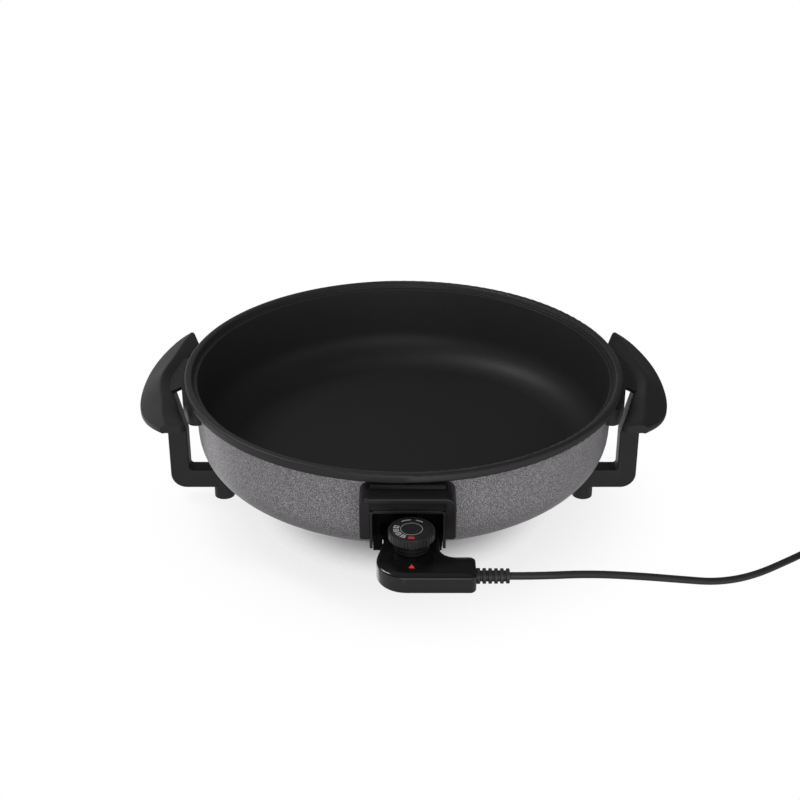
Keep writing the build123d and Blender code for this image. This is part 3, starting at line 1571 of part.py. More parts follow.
def biarc(start, start_way, end, end_way):
    """Two tangent arcs from one point and direction to another."""
    across = end - start
    ways = start_way + end_way
    spread = 2 * (1 - start_way.dot(end_way))
    reach = (sqrt(across.dot(ways) ** 2 + spread * across.dot(across)) - across.dot(ways)) / spread
    first = start + start_way * reach
    second = end - end_way * reach
    TangentArc(start, (first + second) / 2, tangent=start_way)
    TangentArc((first + second) / 2, end, tangent=second - first)


coil_spans = round(coil_turns * 4)
coil_marks = [coil_turns * i / coil_spans for i in range(coil_spans + 1)]
coil_ways = [coil_tangent(mark) for mark in coil_marks]
coil_ways[0] = heading
coil_ways[-1] = heading.rotate(Axis.Z, -360 * coil_turns)
with BuildPart() as cord_coil:
    with BuildLine() as coil_line:
        Line(coil_start, coil_point(0))
        for i in range(coil_spans):
            biarc(coil_point(coil_marks[i]), coil_ways[i], coil_point(coil_marks[i + 1]), coil_ways[i + 1])
        Line(coil_point(coil_turns), coil_point(coil_turns) + coil_ways[-1] * cord_d)
    with BuildSketch(Plane(origin=coil_start, z_dir=heading)):
        Circle(cord_d / 2)
    sweep()
coil_length = sum(edge.length for edge in coil_line.edges())
coil_samples = round(coil_length / cord_d) * 3
coil_dots = [coil_line.line @ (i / coil_samples) for i in range(coil_samples + 1)]
coil_gap = min(
    (a - b).length - cord_d
    for i, a in enumerate(coil_dots)
    for b in coil_dots[i + round(coil_samples * pi * cord_d / coil_length) :]
)
print("coil", round(coil_length, 1), "least gap", round(coil_gap, 2))
print("coil volume share", cord_coil.part.volume / (coil_length * pi * cord_d**2 / 4))
cord_coil.part.label = "cord_coil"
export_step(cord_coil.part, "parts/cord_coil.step")

# Tie round the coil's turns
tie_way = radians(tie_angle)
tie_out = Vector(cos(tie_way), sin(tie_way), 0)
tie_in_r = coil_r - coil_step * (climb_start + coil_climb / 4) - cord_d / 2 - tie_gap
tie_out_r = coil_r + cord_d / 2 + tie_gap
tie_top = cord_rest_z + coil_step + cord_d / 2 + tie_gap
tie_plane = Plane(
    origin=(coil_centre.X, coil_centre.Y, 0), x_dir=tie_out, z_dir=tie_out.rotate(Axis.Z, -90)
)
with BuildPart() as cord_tie:
    with BuildSketch(tie_plane):
        make_face(
            rounded(
                [
                    (tie_in_r - tie, 0),
                    (tie_out_r + tie, 0),
                    (tie_out_r + tie, tie_top + tie),
                    (tie_in_r - tie, tie_top + tie),
                ],
                [tie_round, tie_round, tie_round, tie_round],
            )
        )
        offset(amount=-tie, mode=Mode.SUBTRACT)
    extrude(amount=tie_width / 2, both=True)
cord_tie.part.label = "cord_tie"
export_step(cord_tie.part, "parts/cord_tie.step")

# Run from the coil to the plug, which lies on the table
lead_start = coil_point(coil_turns) + coil_ways[-1] * cord_d
plug_way = coil_ways[-1]
plug_z = plug_d / 2
boot_start = lead_start + plug_way * plug_run
boot_start.Z = plug_z
lead_end = boot_start + plug_way * boot_length
lead_route = (
    lead_start,
    lead_start + plug_way * plug_run * lead_dip_share,
    boot_start - plug_way * plug_run * lead_dip_share,
    lead_end,
)
with BuildPart() as plug_lead:
    with BuildLine() as lead_line:
        FilletPolyline(*lead_route, radius=route_radii(lead_route))
    with BuildSketch(Plane(origin=lead_line.line @ 0, z_dir=lead_line.line % 0)):
        Circle(cord_d / 2)
    sweep()
print("plug lead radii", [round(r, 1) for r in route_radii(lead_route)])
plug_lead.part.label = "plug_lead"
export_step(plug_lead.part, "parts/plug_lead.step")

# Plug: a round body with a boot, two round pins and an earth strip on each side
plug_side = plug_way.rotate(Axis.Z, 90)
plug_profile = Plane(origin=boot_start, x_dir=plug_way, z_dir=plug_side * -1)
plug_face = boot_start + plug_way * (boot_length + plug_length)
with BuildPart() as plug_body:
    with BuildSketch(plug_profile):
        make_face(
            rounded(
                [
                    (0, 0),
                    (boot_length + plug_length, 0),
                    (boot_length + plug_length, plug_d / 2),
                    (boot_length + plug_length - plug_head, plug_d / 2),
                    (boot_length + plug_round, plug_waist_d / 2),
                    (boot_length, boot_d / 2),
                    (0, boot_tip_d / 2),
                ],
                [0, 0, plug_round, plug_round, plug_round, 0, 0],
            )
        )
    revolve(axis=Axis(boot_start, plug_way))
    with BuildSketch(Plane(origin=boot_start, x_dir=plug_side, z_dir=plug_way)):
        Circle(cord_d / 2 + fit_gap)
    extrude(amount=boot_length, mode=Mode.SUBTRACT)
    with BuildSketch(Plane(origin=plug_face, x_dir=plug_side, z_dir=plug_way)):
        with GridLocations(plug_pin_spread, 0, 2, 1):
            Circle(plug_pin_root_d / 2 + fit_gap)
    extrude(amount=-plug_pin_root, mode=Mode.SUBTRACT)
    with BuildSketch(Plane(origin=plug_face, x_dir=plug_side, z_dir=plug_way)):
        with Locations((0, plug_d / 2 - earth_slot), (0, earth_slot - plug_d / 2)):
            Rectangle(earth_slot_width, 2 * earth_slot)
    extrude(amount=-plug_head, mode=Mode.SUBTRACT)
plug_body.part.label = "plug_body"
export_step(plug_body.part, "parts/plug_body.step")

with BuildPart() as plug_pins:
    with BuildSketch(Plane(origin=plug_face, x_dir=plug_side, z_dir=plug_way)):
        with GridLocations(plug_pin_spread, 0, 2, 1):
            Circle(plug_pin_d / 2)
    extrude(amount=plug_pin)
    with BuildSketch(Plane(origin=plug_face, x_dir=plug_side, z_dir=plug_way)):
        with GridLocations(plug_pin_spread, 0, 2, 1):
            Circle(plug_pin_root_d / 2)
    extrude(amount=-plug_pin_root)
    pin_rings = plug_pins.edges().filter_by(GeomType.CIRCLE)
    fillet(pin_rings.group_by(Axis(boot_start, plug_way))[-1], plug_pin_round)
plug_pins.part.label = "plug_pins"
export_step(plug_pins.part, "parts/plug_pins.step")

with BuildPart() as earth_strips:
    strip_v = plug_d / 2 - 2 * earth_slot + earth_strip / 2
    with BuildSketch(Plane(origin=plug_face, x_dir=plug_side, z_dir=plug_way)):
        with Locations((0, strip_v), (0, -strip_v)):
            Rectangle(earth_strip_width, earth_strip)
    extrude(amount=-earth_strip_length)
earth_strips.part.label = "earth_strips"
export_step(earth_strips.part, "parts/earth_strips.step")
print("plug face", plug_face, "way", plug_way, "side", plug_side)
print("lever", lever_x, lever_y, "swing", lever_swing, "ratio", lever_swing / dial_range)
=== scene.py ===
"""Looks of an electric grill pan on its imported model: finishes, mains lead, dial print and stage."""

import json
from math import cos, pi, radians, sin

import bmesh
import bpy
from mathutils import Matrix, Vector

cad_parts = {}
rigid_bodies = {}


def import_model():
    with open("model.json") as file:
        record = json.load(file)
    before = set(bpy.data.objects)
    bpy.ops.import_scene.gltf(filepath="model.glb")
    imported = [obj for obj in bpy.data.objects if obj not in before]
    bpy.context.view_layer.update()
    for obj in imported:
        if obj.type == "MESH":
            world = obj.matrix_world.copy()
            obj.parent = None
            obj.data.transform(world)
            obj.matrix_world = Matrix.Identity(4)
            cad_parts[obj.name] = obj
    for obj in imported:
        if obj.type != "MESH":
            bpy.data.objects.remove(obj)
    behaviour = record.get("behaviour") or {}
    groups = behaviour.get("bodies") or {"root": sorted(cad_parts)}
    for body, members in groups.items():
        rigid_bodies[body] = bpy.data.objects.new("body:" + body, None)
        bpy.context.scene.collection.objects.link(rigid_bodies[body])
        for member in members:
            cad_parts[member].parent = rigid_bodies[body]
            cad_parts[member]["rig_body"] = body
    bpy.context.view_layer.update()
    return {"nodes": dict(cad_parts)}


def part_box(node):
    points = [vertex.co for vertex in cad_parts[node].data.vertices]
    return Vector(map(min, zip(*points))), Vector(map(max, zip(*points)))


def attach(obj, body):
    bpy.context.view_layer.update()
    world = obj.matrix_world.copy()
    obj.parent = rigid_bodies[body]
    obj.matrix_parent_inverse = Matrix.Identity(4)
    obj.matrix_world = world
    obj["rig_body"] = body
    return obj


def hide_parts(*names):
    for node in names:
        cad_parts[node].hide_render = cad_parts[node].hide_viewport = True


bl_info = {
    "name": "Electric grill pan",
    "version": (1, 0, 0),
    "blender": (4, 5, 0),
    "location": "View3D > Sidebar > Grill Pan",
    "description": "Dresses the packed model of an electric grill pan",
    "category": "Object",
}

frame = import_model()
MM = 0.001

# How near points of a node or of a new piece merge, how near to a point a cut goes through it, the angle
# below which a node's faces join, and the least squared length of a line
NODE_MERGE = 0.004 * MM
NEW_MERGE = 0.002 * MM
CUT_REACH = 0.001 * MM
JOIN_ANGLE = radians(0.3)
LEAST_LINE = 1e-12

# Widths of the eased edges
FINE_EASE = 0.1 * MM
SMALL_EASE = 0.15 * MM
PLAIN_EASE = 0.2 * MM
CASE_EASE = 0.25 * MM
PLUG_EASE = 0.3 * MM
GUARD_EASE = 0.4 * MM
RELIEF_EASE = 0.7 * MM
HANDLE_EASE = 0.8 * MM

# Where finishes change: the painted shade behind the frame, the plate's rubbed ends, the dial's collar with
# its painted sheen, the sleeves
INLET_REACH = 0.03
RUBBED_END = 6.5 * MM
RUBBED_FRONT = 2.0 * MM
COLLAR_STEP = 0.3 * MM
SLEEVE_CHANGE = (-0.279, -0.270)

# Round tip at the rear end of a grip, and the turns in degrees of the planes that cut it
TIP_START = 74.0 * MM
TIP_END = 1.0 * MM
TIP_RADIUS = 3.5 * MM
TIP_MIDDLE = (217.5 * MM, 96.5 * MM)
TIP_TURNS = range(20, 90, 14)

# Lower edge of the earth plate, lengthened as painted shade, and the sheet of painted shade behind the plate
SKIRT_EDGE = 1.0 * MM
SKIRT_DROP = 8.0 * MM
SHADE_SHEET_INSET = 2.7 * MM
SHADE_SHEET_DROP = 14.0 * MM
SHADE_SHEET_DEPTHS = (0.1 * MM, 0.7 * MM)
PIN_OPENING = (-10.2 * MM, 16.2 * MM)

# Crown of the case's top, and the normals' heights that tell its flat, its slopes and its sides
CASE_ROUND = 2.4 * MM
CROWN_REACH = 4.0 * MM
CROWN_STEP = 1.5 * MM
LEVEL_GAP = 0.01 * MM
FLAT_FROM = 0.999
SLOPE_BELOW = 0.9995
OUTLINE_FROM = 0.3
SLOPE_FROM = 0.02

# Print on the dial: radii, angles in degrees and the thickness of the ink
RING_RADII = (8.8 * MM, 9.25 * MM)
ARC_RADII = (13.5 * MM, 14.5 * MM)
LOW_ARC = (92.0, 126.0)
HIGH_ARC = (48.0, 74.0)
MARK_RADII = (11.8 * MM, 15.2 * MM)
MARK_ARC = (-102.0, -80.0)
CELL_RADII = (10.6 * MM, 15.2 * MM)
CELL_COUNT = 4
CELL_START = -98.0
CELL_TURN = 24.0
CELL_HALF = 9.0
FULL_TURN = 360.0
BAND_STEP = 3.75
INK_THICKNESS = 0.08 * MM
NUMBER_SIZE = 4.2 * MM
NUMBER_RADIUS = 12.9 * MM

# Route of the mains lead in metres, from the strain relief to where its coil starts
LEAD_ROUTE = (
    (0.086, -0.277, 0.090),
    (0.110, -0.277, 0.090),
    (0.152, -0.270, 0.08738),
    (0.198, -0.248, 0.07008),
    (0.240, -0.216, 0.04490),
    (0.280, -0.185, 0.02078),
    (0.320, -0.155, 0.00714),
    (0.361, -0.124, 0.00405),
)

# Coil of the mains lead: the run to it, the pitch of its turns and layers, and the turns of its climb
COIL_HEADING = radians(36.0)
COIL_RUN = 0.034
COIL_STEP = 7.1 * MM
COIL_CLIMB = 0.5
TURN_POINTS = 16

# Run from the coil to the plug, its bends at both ends, its end in the plug, and the radius of a plug pin
PLUG_RUN = 0.062
PLUG_BEND = 0.0124
PLUG_DEPTH = 0.02
PIN_RADIUS = 2.4 * MM

# Soft lights: name, place, what they point at, width and length in metres, and power in watts
SOFTBOXES = (
    ("softbox_top", (-0.1, 0.1, 1.7), (0.0, 0.0, 0.05), (1.9, 1.9), 2.2),
    ("softbox_key", (-0.8, 0.18, 1.15), (0.0, -0.27, 0.1), (0.24, 0.55), 8.0),
    ("softbox_left", (-1.6, 0.1, 0.3), (0.0, 0.0, 0.1), (1.0, 0.6), 1.2),
    ("softbox_right", (1.5, -0.9, 0.5), (0.0, 0.0, 0.1), (1.0, 1.0), 2.6),
    ("softbox_front", (0.1, -1.8, 0.4), (0.0, 0.0, 0.1), (1.7, 1.2), 19.0),
)

# Directions in which reflections find a dim wall and a bright panel
DIM_SIDE = (0.707, 0.707, 0.0)
BRIGHT_SIDE = (-0.5, 0.735, -0.458)

# Floor, and the radii between which it fades with the share that each fade takes
FLOOR_RADIUS = 3.0
FLOOR_DROP = 0.0002
FLOOR_FADES = ((0.085, 0.15, 0.76), (0.13, 0.28, 0.24))

# What the camera looks at, and its lens and sensor in millimetres
CAMERA_TARGET = (-0.0035, 0.0, 0.108)
CAMERA_LENS = 67.5
CAMERA_SENSOR = 36.0


class Value:
    """A shader socket that Python's operators turn into Math nodes."""

    def __init__(self, tree, socket):
        self.tree = tree
        self.socket = socket

    def _math(self, operation, first, second):
        made = self.tree.node("ShaderNodeMath", {"operation": operation}, {0: first, 1: second})
        return made["Value"]

    def __add__(self, other):
        return self._math("ADD", self, other)

    __radd__ = __add__

    def __sub__(self, other):
        return self._math("SUBTRACT", self, other)

    def __rsub__(self, other):
        return self._math("SUBTRACT", other, self)

    def __mul__(self, other):
        return self._math("MULTIPLY", self, other)

    __rmul__ = __mul__

    def __truediv__(self, other):
        return self._math("DIVIDE", self, other)

    def __pow__(self, other):
        return self._math("POWER", self, other)

    def __gt__(self, other):
        return self._math("GREATER_THAN", self, other)

    def __lt__(self, other):
        return self._math("LESS_THAN", self, other)


class Tree:
    """The node tree of a material or of the sky."""

    def __init__(self, owner):
        owner.use_nodes = True
        self.nodes = owner.node_tree.nodes
        self.links = owner.node_tree.links

    def node(self, kind, settings=None, values=None):
        """Adds a node, sets it up, fills or links its sockets, and gives its outputs by name."""
        made = self.nodes.new(kind)
        for key, setting in (settings or {}).items():
            if key == "stops":
                self._fill_ramp(made.color_ramp, setting)
            else:
                setattr(made, key, setting)
        for key, value in (values or {}).items():
            self.feed(made.inputs[key], value)
        return {socket.name: Value(self, socket) for socket in made.outputs if socket.enabled}

    def _fill_ramp(self, ramp, stops):
        while len(ramp.elements) < len(stops):
            ramp.elements.new(1.0)
        for element, (position, colour) in zip(ramp.elements, stops):
            element.position = position
            element.color = (*colour, 1.0)

    def feed(self, socket, value):
        """Links a value to a socket, or sets the socket to a number or colour."""
        if isinstance(value, Value):
            self.links.new(value.socket, socket)
        elif isinstance(value, (tuple, list)) and len(value) == 3 and socket.type == "RGBA":
            socket.default_value = (*value, 1.0)
        else:
            socket.default_value = value

    def axes(self, vector):
        """The X, Y and Z of a vector, by name."""
        return self.node("ShaderNodeSeparateXYZ", None, {"Vector": vector})

    def blend(self, value, reach, ends):
        """A level that goes from one end to the other as a value crosses its reach."""
        titles = ("Value", "From Min", "From Max", "To Min", "To Max")
        return self.node("ShaderNodeMapRange", None, dict(zip(titles, (value, *reach, *ends))))["Result"]

    def towards(self, way, direction):
        """How much of a ray's way goes in a direction."""
        settings = {"operation": "DOT_PRODUCT"}
        return self.node("ShaderNodeVectorMath", settings, {0: way, 1: direction})["Value"]


class Finish(Tree):
    """One material and the nodes that shade it."""

    def __init__(self, name):
        self.material = bpy.data.materials.new(name)
        super().__init__(self.material)
        self.shader = self.nodes["Principled BSDF"]
        self.place = self.node("ShaderNodeTexCoord")["Object"]

    def noise(self, scale, detail=2.0, roughness=0.5, place=None):
        """A noise pattern with a scale in cells per metre."""
        values = {"Vector": place or self.place, "Scale": scale, "Detail": detail, "Roughness": roughness}
        return self.node("ShaderNodeTexNoise", None, values)["Fac"]

    def cells(self, scale):
        """Distance from the middle of hammered cells, with a scale in cells per metre."""
        return self.node("ShaderNodeTexVoronoi", None, {"Vector": self.place, "Scale": scale})["Distance"]

    def ramp(self, value, *stops):
        """A colour ramp with stops of (position, colour)."""
        return self.node("ShaderNodeValToRGB", {"stops": stops}, {"Fac": value})["Color"]

    def step(self, value, low, high):
        """0 below low, 1 above high, and a smooth rise between them."""
        settings = {"interpolation_type": "SMOOTHSTEP"}
        return self.node("ShaderNodeMapRange", settings, {"Value": value, 1: low, 2: high})["Result"]

    def mix(self, factor, first, second):
        """One colour over another by a factor."""
        return self.node("ShaderNodeMix", {"data_type": "RGBA"}, {0: factor, 6: first, 7: second})["Result"]

    def vary(self, pattern, colour, share):
        """A colour that goes to a share of itself by a pattern."""
        return self.mix(pattern, tuple(colour), tuple(part * share for part in colour))

    def bump(self, height, strength, distance):
        """A normal from a height pattern."""
        values = {"Height": height, "Strength": strength, "Distance": distance}
        return self.node("ShaderNodeBump", None, values)["Normal"]

    def paint(self, **sockets):
        """Feeds the shader's sockets: base_color stands for Base Color, and so on."""
        for name, value in sockets.items():
            title = " ".join(word.upper() if word == "ior" else word.capitalize() for word in name.split("_"))
            self.feed(self.shader.inputs[title], value)
        return self.material


def from_middle(axes):
    """Distance from the pan's upright axis."""
    return (axes["X"] * axes["X"] + axes["Y"] * axes["Y"]) ** 0.5


def finish_of(name, make):
    """The material of that name, made the first time that it is asked for."""
    return bpy.data.materials.get(name) or make(name)


def hammered_coat(name):
    """Grey hammered speckle outside the pan, a dark coat inside it and on the rim, and painted shade on the
    wall behind the inlet.
    """
    look = bpy.context.scene.grill_pan
    coat = Finish(name)
    axes = coat.axes(coat.place)
    facing = coat.axes(coat.node("ShaderNodeTexCoord")["Normal"])
    outward = (facing["X"] * axes["X"] + facing["Y"] * axes["Y"]) / from_middle(axes) - facing["Z"]
    outside = (outward > 0.0) * (axes["Z"] < look.band_height)
    low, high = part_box("inlet_frame")
    across = (axes["X"] > low.x) * (axes["X"] < high.x)
    # Painted shade: the wall just behind the inlet's frame is made dark and metallic, as if shaded by the
    # guard.
    inlet = outside * across * (axes["Y"] < high.y + INLET_REACH) * (axes["Z"] < high.z)
    speck = coat.cells(look.speckle_scale) * 0.8 + coat.noise(look.speckle_scale * 1.3, detail=1.0) * 0.3
    dark, mid, light = look.speckle_dark, look.wall_colour, look.speckle_light
    wall = coat.ramp(speck, (0.28, tuple(dark)), (0.5, tuple(mid)), (0.72, tuple(light)))
    fleck = coat.step(coat.noise(look.speckle_scale * 1.4, detail=1.0), 0.66, 0.76)
    inner = coat.mix(fleck * 0.5, tuple(look.inner_colour), tuple(look.fleck_colour))
    speckled = outside * (1.0 - inlet)
    return coat.paint(
        base_color=coat.mix(inlet, coat.mix(outside, inner, wall), tuple(look.shade_colour)),
        metallic=speckled * 0.35 + inlet,
        roughness=0.42 - speckled * 0.1 + speck * 0.1,
        specular_ior_level=0.22,
        normal=coat.bump(speck * (outside * 0.75 + 0.25), strength=0.5, distance=0.0005),
    )


def moulding(name, roughness=0.42, level=0.22, tone_and_shade=1.0):
    """Black phenolic moulding with a fine grain, its colour scaled down: a plain darker tone on the handles,
    painted shade on the guard.
    """
    look = bpy.context.scene.grill_pan
    body = Finish(name)
    grain = body.noise(2600.0, roughness=0.6)
    cloud = body.noise(38.0, detail=3.0)
    colour = [part * tone_and_shade for part in look.moulding_colour]
    return body.paint(
        base_color=body.vary(cloud, colour, 1.5),
        roughness=roughness + grain * 0.12 + cloud * 0.06,
        specular_ior_level=level,
        normal=body.bump(grain, strength=0.12, distance=0.0002),
    )


def case_gloss(name):
    """Smooth black case plastic with a slight orange peel, and a lighter collar under the dial as painted
    sheen on its rings.
    """
    look = bpy.context.scene.grill_pan
    body = Finish(name)
    peel = body.noise(420.0)
    dust = body.noise(2200.0, detail=1.0)
    shade = body.vary(peel, look.case_colour, 1.6)
    # Painted sheen: the collar above the lens is lighter and rougher so that its rings show as if lit.
    collar = body.axes(body.place)["Z"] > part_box("pointer_lens")[1].z + COLLAR_STEP
    return body.paint(
        base_color=body.mix(collar * 0.3, shade, tuple(look.moulding_colour)),
        roughness=0.09 + dust * 0.06 + peel * 0.04 + collar * 0.1,
        specular_ior_level=0.34,
        normal=body.bump(peel, strength=0.05, distance=0.0003),
    )


def black_enamel(name):
    """Dull black enamel of the frame round the pins."""
    body = Finish(name)
    grain = body.noise(1700.0)
    cloud = body.noise(120.0)
    return body.paint(
        base_color=body.mix(cloud, (0.004, 0.004, 0.0045), (0.008, 0.008, 0.0085)),
        roughness=0.32 + grain * 0.14,
        specular_ior_level=0.3,
        normal=body.bump(grain, strength=0.1, distance=0.0002),
    )


def plate_black(name):
    """Dull sheet in the inlet's painted shade colour, with bright, rubbed ends where the springs slide on."""
    look = bpy.context.scene.grill_pan
    sheet = Finish(name)
    axes = sheet.axes(sheet.place)
    grain = sheet.noise(500.0)
    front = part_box("terminal_pins")[1].y - RUBBED_FRONT
    rubbed = (axes["Y"] < front) * (axes["Z"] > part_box("earth_plate")[1].z - RUBBED_END)
    return sheet.paint(
        base_color=sheet.mix(rubbed, tuple(look.shade_colour), (0.72, 0.71, 0.7)),
        metallic=rubbed,
        roughness=0.6 - rubbed * 0.35 + grain * 0.1,
        specular_ior_level=0.05,
    )


def dial_satin(name):
    """Black satin of the dial."""
    look = bpy.context.scene.grill_pan
    body = Finish(name)
    grain = body.noise(1900.0)
    wear = body.noise(160.0, detail=3.0)
    return body.paint(
        base_color=body.vary(wear, look.case_colour, 4.0),
        roughness=0.26 + grain * 0.14,
        specular_ior_level=0.5,
        normal=body.bump(grain, strength=0.1, distance=0.0002),
    )


def lead_rubber(name):
    """Black sheath of the mains lead, its relief and plug."""
    body = Finish(name)
    grain = body.noise(1500.0)
    cloud = body.noise(60.0)
    return body.paint(
        base_color=body.mix(cloud, (0.014, 0.014, 0.015), (0.026, 0.026, 0.027)),
        roughness=0.42 + grain * 0.14,
        specular_ior_level=0.25,
        normal=body.bump(grain, strength=0.1, distance=0.0002),
    )


def red_plastic(name):
    """Clear red plastic of the pointer lens."""
    body = Finish(name)
    cloud = body.noise(500.0)
    shade = body.mix(cloud, (0.62, 0.02, 0.025), (0.8, 0.05, 0.05))
    return body.paint(base_color=shade, roughness=0.2 + cloud * 0.1)


def ink(name, colour):
    """Printed ink with slightly uneven cover."""
    body = Finish(name)
    cover = body.noise(1800.0)
    return body.paint(base_color=body.vary(cover, colour, 0.8), roughness=0.5 + cover * 0.1)


def metal(name, colour, roughness, scale):
    """Plain metal with fine drawn marks."""
    body = Finish(name)
    drawn = body.node("ShaderNodeMapping", None, {"Vector": body.place, "Scale": (1.0, 1.0, 0.12)})
    marks = body.noise(scale, detail=3.0, roughness=0.6, place=drawn["Vector"])
    cloud = body.noise(90.0)
    return body.paint(
        base_color=body.vary(cloud, colour, 0.82),
        metallic=1.0,
        roughness=roughness + marks * 0.14,
        normal=body.bump(marks, strength=0.08, distance=0.0001),
    )


def ceramic(name):
    """Unglazed ceramic."""
    body = Finish(name)
    grain = body.noise(900.0, detail=3.0)
    shade = body.mix(grain, (0.78, 0.74, 0.66), (0.68, 0.63, 0.55))
    return body.paint(
        base_color=shade,
        roughness=0.7 + grain * 0.15,
        normal=body.bump(grain, strength=0.15, distance=0.0002),
    )


def bulb_glass(name):
    """Thin clear glass of the lamp."""
    body = Finish(name)
    haze = body.noise(700.0)
    shade = body.mix(haze, (0.9, 0.6, 0.45), (0.85, 0.5, 0.35))
    return body.paint(base_color=shade, roughness=0.05 + haze * 0.05, transmission_weight=0.8)


def lead_plastic(name):
    """Coloured sleeves of the leads inside the case."""
    body = Finish(name)
    cloud = body.noise(300.0)
    cool = body.step(body.axes(body.place)["Y"], *SLEEVE_CHANGE)
    shade = body.mix(cool, (0.2, 0.09, 0.04), (0.05, 0.1, 0.3))
    return body.paint(base_color=shade, roughness=0.35 + cloud * 0.1)


# Metals: name, colour, roughness and drawn marks per metre
STEEL = ("steel", (0.56, 0.56, 0.55), 0.3, 1400.0)
DARK_STEEL = ("dark_steel", (0.11, 0.11, 0.115), 0.4, 1100.0)
SHEATH = ("element_sheath", (0.3, 0.29, 0.28), 0.45, 900.0)
NICKEL = ("nickel", (0.7, 0.68, 0.65), 0.18, 1600.0)
BRASS = ("brass", (0.72, 0.5, 0.2), 0.28, 1500.0)


def metal_of(sort):
    """The finish of a metal, given by its name, colour, roughness and scale of marks."""
    return finish_of(sort[0], lambda name: metal(name, *sort[1:]))


def link_piece(name, data, body):
    """Adds an object to the scene that rides on a body and takes its finish from a slot."""
    piece = bpy.data.objects.new(name, data)
    bpy.context.scene.collection.objects.link(piece)
    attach(piece, body)
    return piece


def body_of_node(node):
    """The body that a node of the model rides on."""
    return frame["nodes"][node]["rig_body"]


def skin(node, material, bevel=0.0, angle=30.0, change=None):
    """A smooth copy of a node that stands for it in a finish, changed and with its hard edges eased."""
    mesh = frame["nodes"][node].data.copy()
    mesh.name = node + "_skin"
    shape = bmesh.new()
    shape.from_mesh(mesh)
    bmesh.ops.remove_doubles(shape, verts=shape.verts, dist=NODE_MERGE)
    bmesh.ops.dissolve_limit(
        shape, angle_limit=JOIN_ANGLE, verts=shape.verts, edges=shape.edges, delimit={"NORMAL"}
    )
    if change:
        change(shape)
    for face in shape.faces:
        face.smooth = True
    shape.to_mesh(mesh)
    shape.free()
    mesh.materials.clear()
    mesh.materials.append(material)
    mesh.set_sharp_from_angle(angle=radians(angle))
    piece = link_piece(node + "_skin", mesh, body_of_node(node))
    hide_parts(node)
    if bevel:
        ease = piece.modifiers.new("eased_edges", "BEVEL")
        ease.width = bevel
        ease.segments = 2
        ease.limit_method = "ANGLE"
        ease.angle_limit = radians(angle)
        ease.harden_normals = True
        ease.use_clamp_overlap = True
    return piece


def cut_faces(shape, faces, point, way, clear=False):
    """Cuts some faces along a plane, and clears what lies beyond it if asked to."""
    parts = dict.fromkeys(part for face in faces for part in (*face.verts, *face.edges, face))
    bmesh.ops.bisect_plane(
        shape, geom=list(parts), dist=CUT_REACH, plane_co=point, plane_no=way, clear_outer=clear
    )


def mesh_piece(name, shape, material, body, angle=30.0):
    """Makes a piece from a bmesh."""
    bmesh.ops.remove_doubles(shape, verts=shape.verts, dist=NEW_MERGE)
    bmesh.ops.recalc_face_normals(shape, faces=shape.faces)
    for face in shape.faces:
        face.smooth = True
    mesh = bpy.data.meshes.new(name)
    shape.to_mesh(mesh)
    shape.free()
    mesh.materials.append(material)
    mesh.set_sharp_from_angle(angle=radians(angle))
    return link_piece(name, mesh, body)


class GrillPanSettings(bpy.types.PropertyGroup):
    """Colours and sizes that a user would change."""

    wall_colour: bpy.props.FloatVectorProperty(
        name="Wall", description="Middle tone of the wall", subtype="COLOR", default=(0.152, 0.145, 0.153)
    )
    speckle_dark: bpy.props.FloatVectorProperty(
        name="Dark specks",
        description="Dark specks of the wall",
        subtype="COLOR",
        default=(0.062, 0.059, 0.0625),
    )
    speckle_light: bpy.props.FloatVectorProperty(
        name="Light specks",
        description="Light specks of the wall",
        subtype="COLOR",
        default=(0.325, 0.308, 0.328),
    )
    speckle_scale: bpy.props.FloatProperty(
        name="Speckle scale", description="Specks per metre", default=1050.0, min=50.0
    )
    inner_colour: bpy.props.FloatVectorProperty(
        name="Inside", description="Coat inside the pan", subtype="COLOR", default=(0.017, 0.0167, 0.0172)
    )
    fleck_colour: bpy.props.FloatVectorProperty(
        name="Flecks", description="Flecks of the inside coat", subtype="COLOR", default=(0.07, 0.07, 0.072)
    )
    band_height: bpy.props.FloatProperty(
        name="Band height", description="Height of the rim's lower edge", subtype="DISTANCE", default=0.13745
    )
    # Painted shade: this dark colour stands for the shade on the wall behind the inlet, and also colours the
    # earth plate and the sheet behind it.
    shade_colour: bpy.props.FloatVectorProperty(
        name="Inlet shade",
        description="Wall behind the inlet",
        subtype="COLOR",
        default=(0.002, 0.002, 0.0022),
    )
    moulding_colour: bpy.props.FloatVectorProperty(
        name="Mouldings",
        description="Handles, guard and feet",
        subtype="COLOR",
        default=(0.0135, 0.0131, 0.0135),
    )
    case_colour: bpy.props.FloatVectorProperty(
        name="Case", description="Thermostat case", subtype="COLOR", default=(0.004, 0.004, 0.0042)
    )
    ink_colour: bpy.props.FloatVectorProperty(
        name="Ink", description="Print on the dial", subtype="COLOR", default=(0.3, 0.3, 0.3)
    )
    mark_colour: bpy.props.FloatVectorProperty(
        name="Mark", description="Red mark on the dial", subtype="COLOR", default=(0.46, 0.012, 0.035)
    )
    lead_diameter: bpy.props.FloatProperty(
        name="Lead", description="Diameter of the mains lead", subtype="DISTANCE", default=0.0065
    )
    coil_diameter: bpy.props.FloatProperty(
        name="Coil", description="Diameter of the coil's outer turn", subtype="DISTANCE", default=0.084
    )
    coil_turns: bpy.props.FloatProperty(name="Turns", description="Turns of the coil", default=3.35)
    camera_distance: bpy.props.FloatProperty(
        name="Distance", description="Camera to the pan", subtype="DISTANCE", default=1.464
    )
    camera_tilt: bpy.props.FloatProperty(
        name="Tilt", description="Camera above the horizon", subtype="ANGLE", default=radians(27.5)
    )


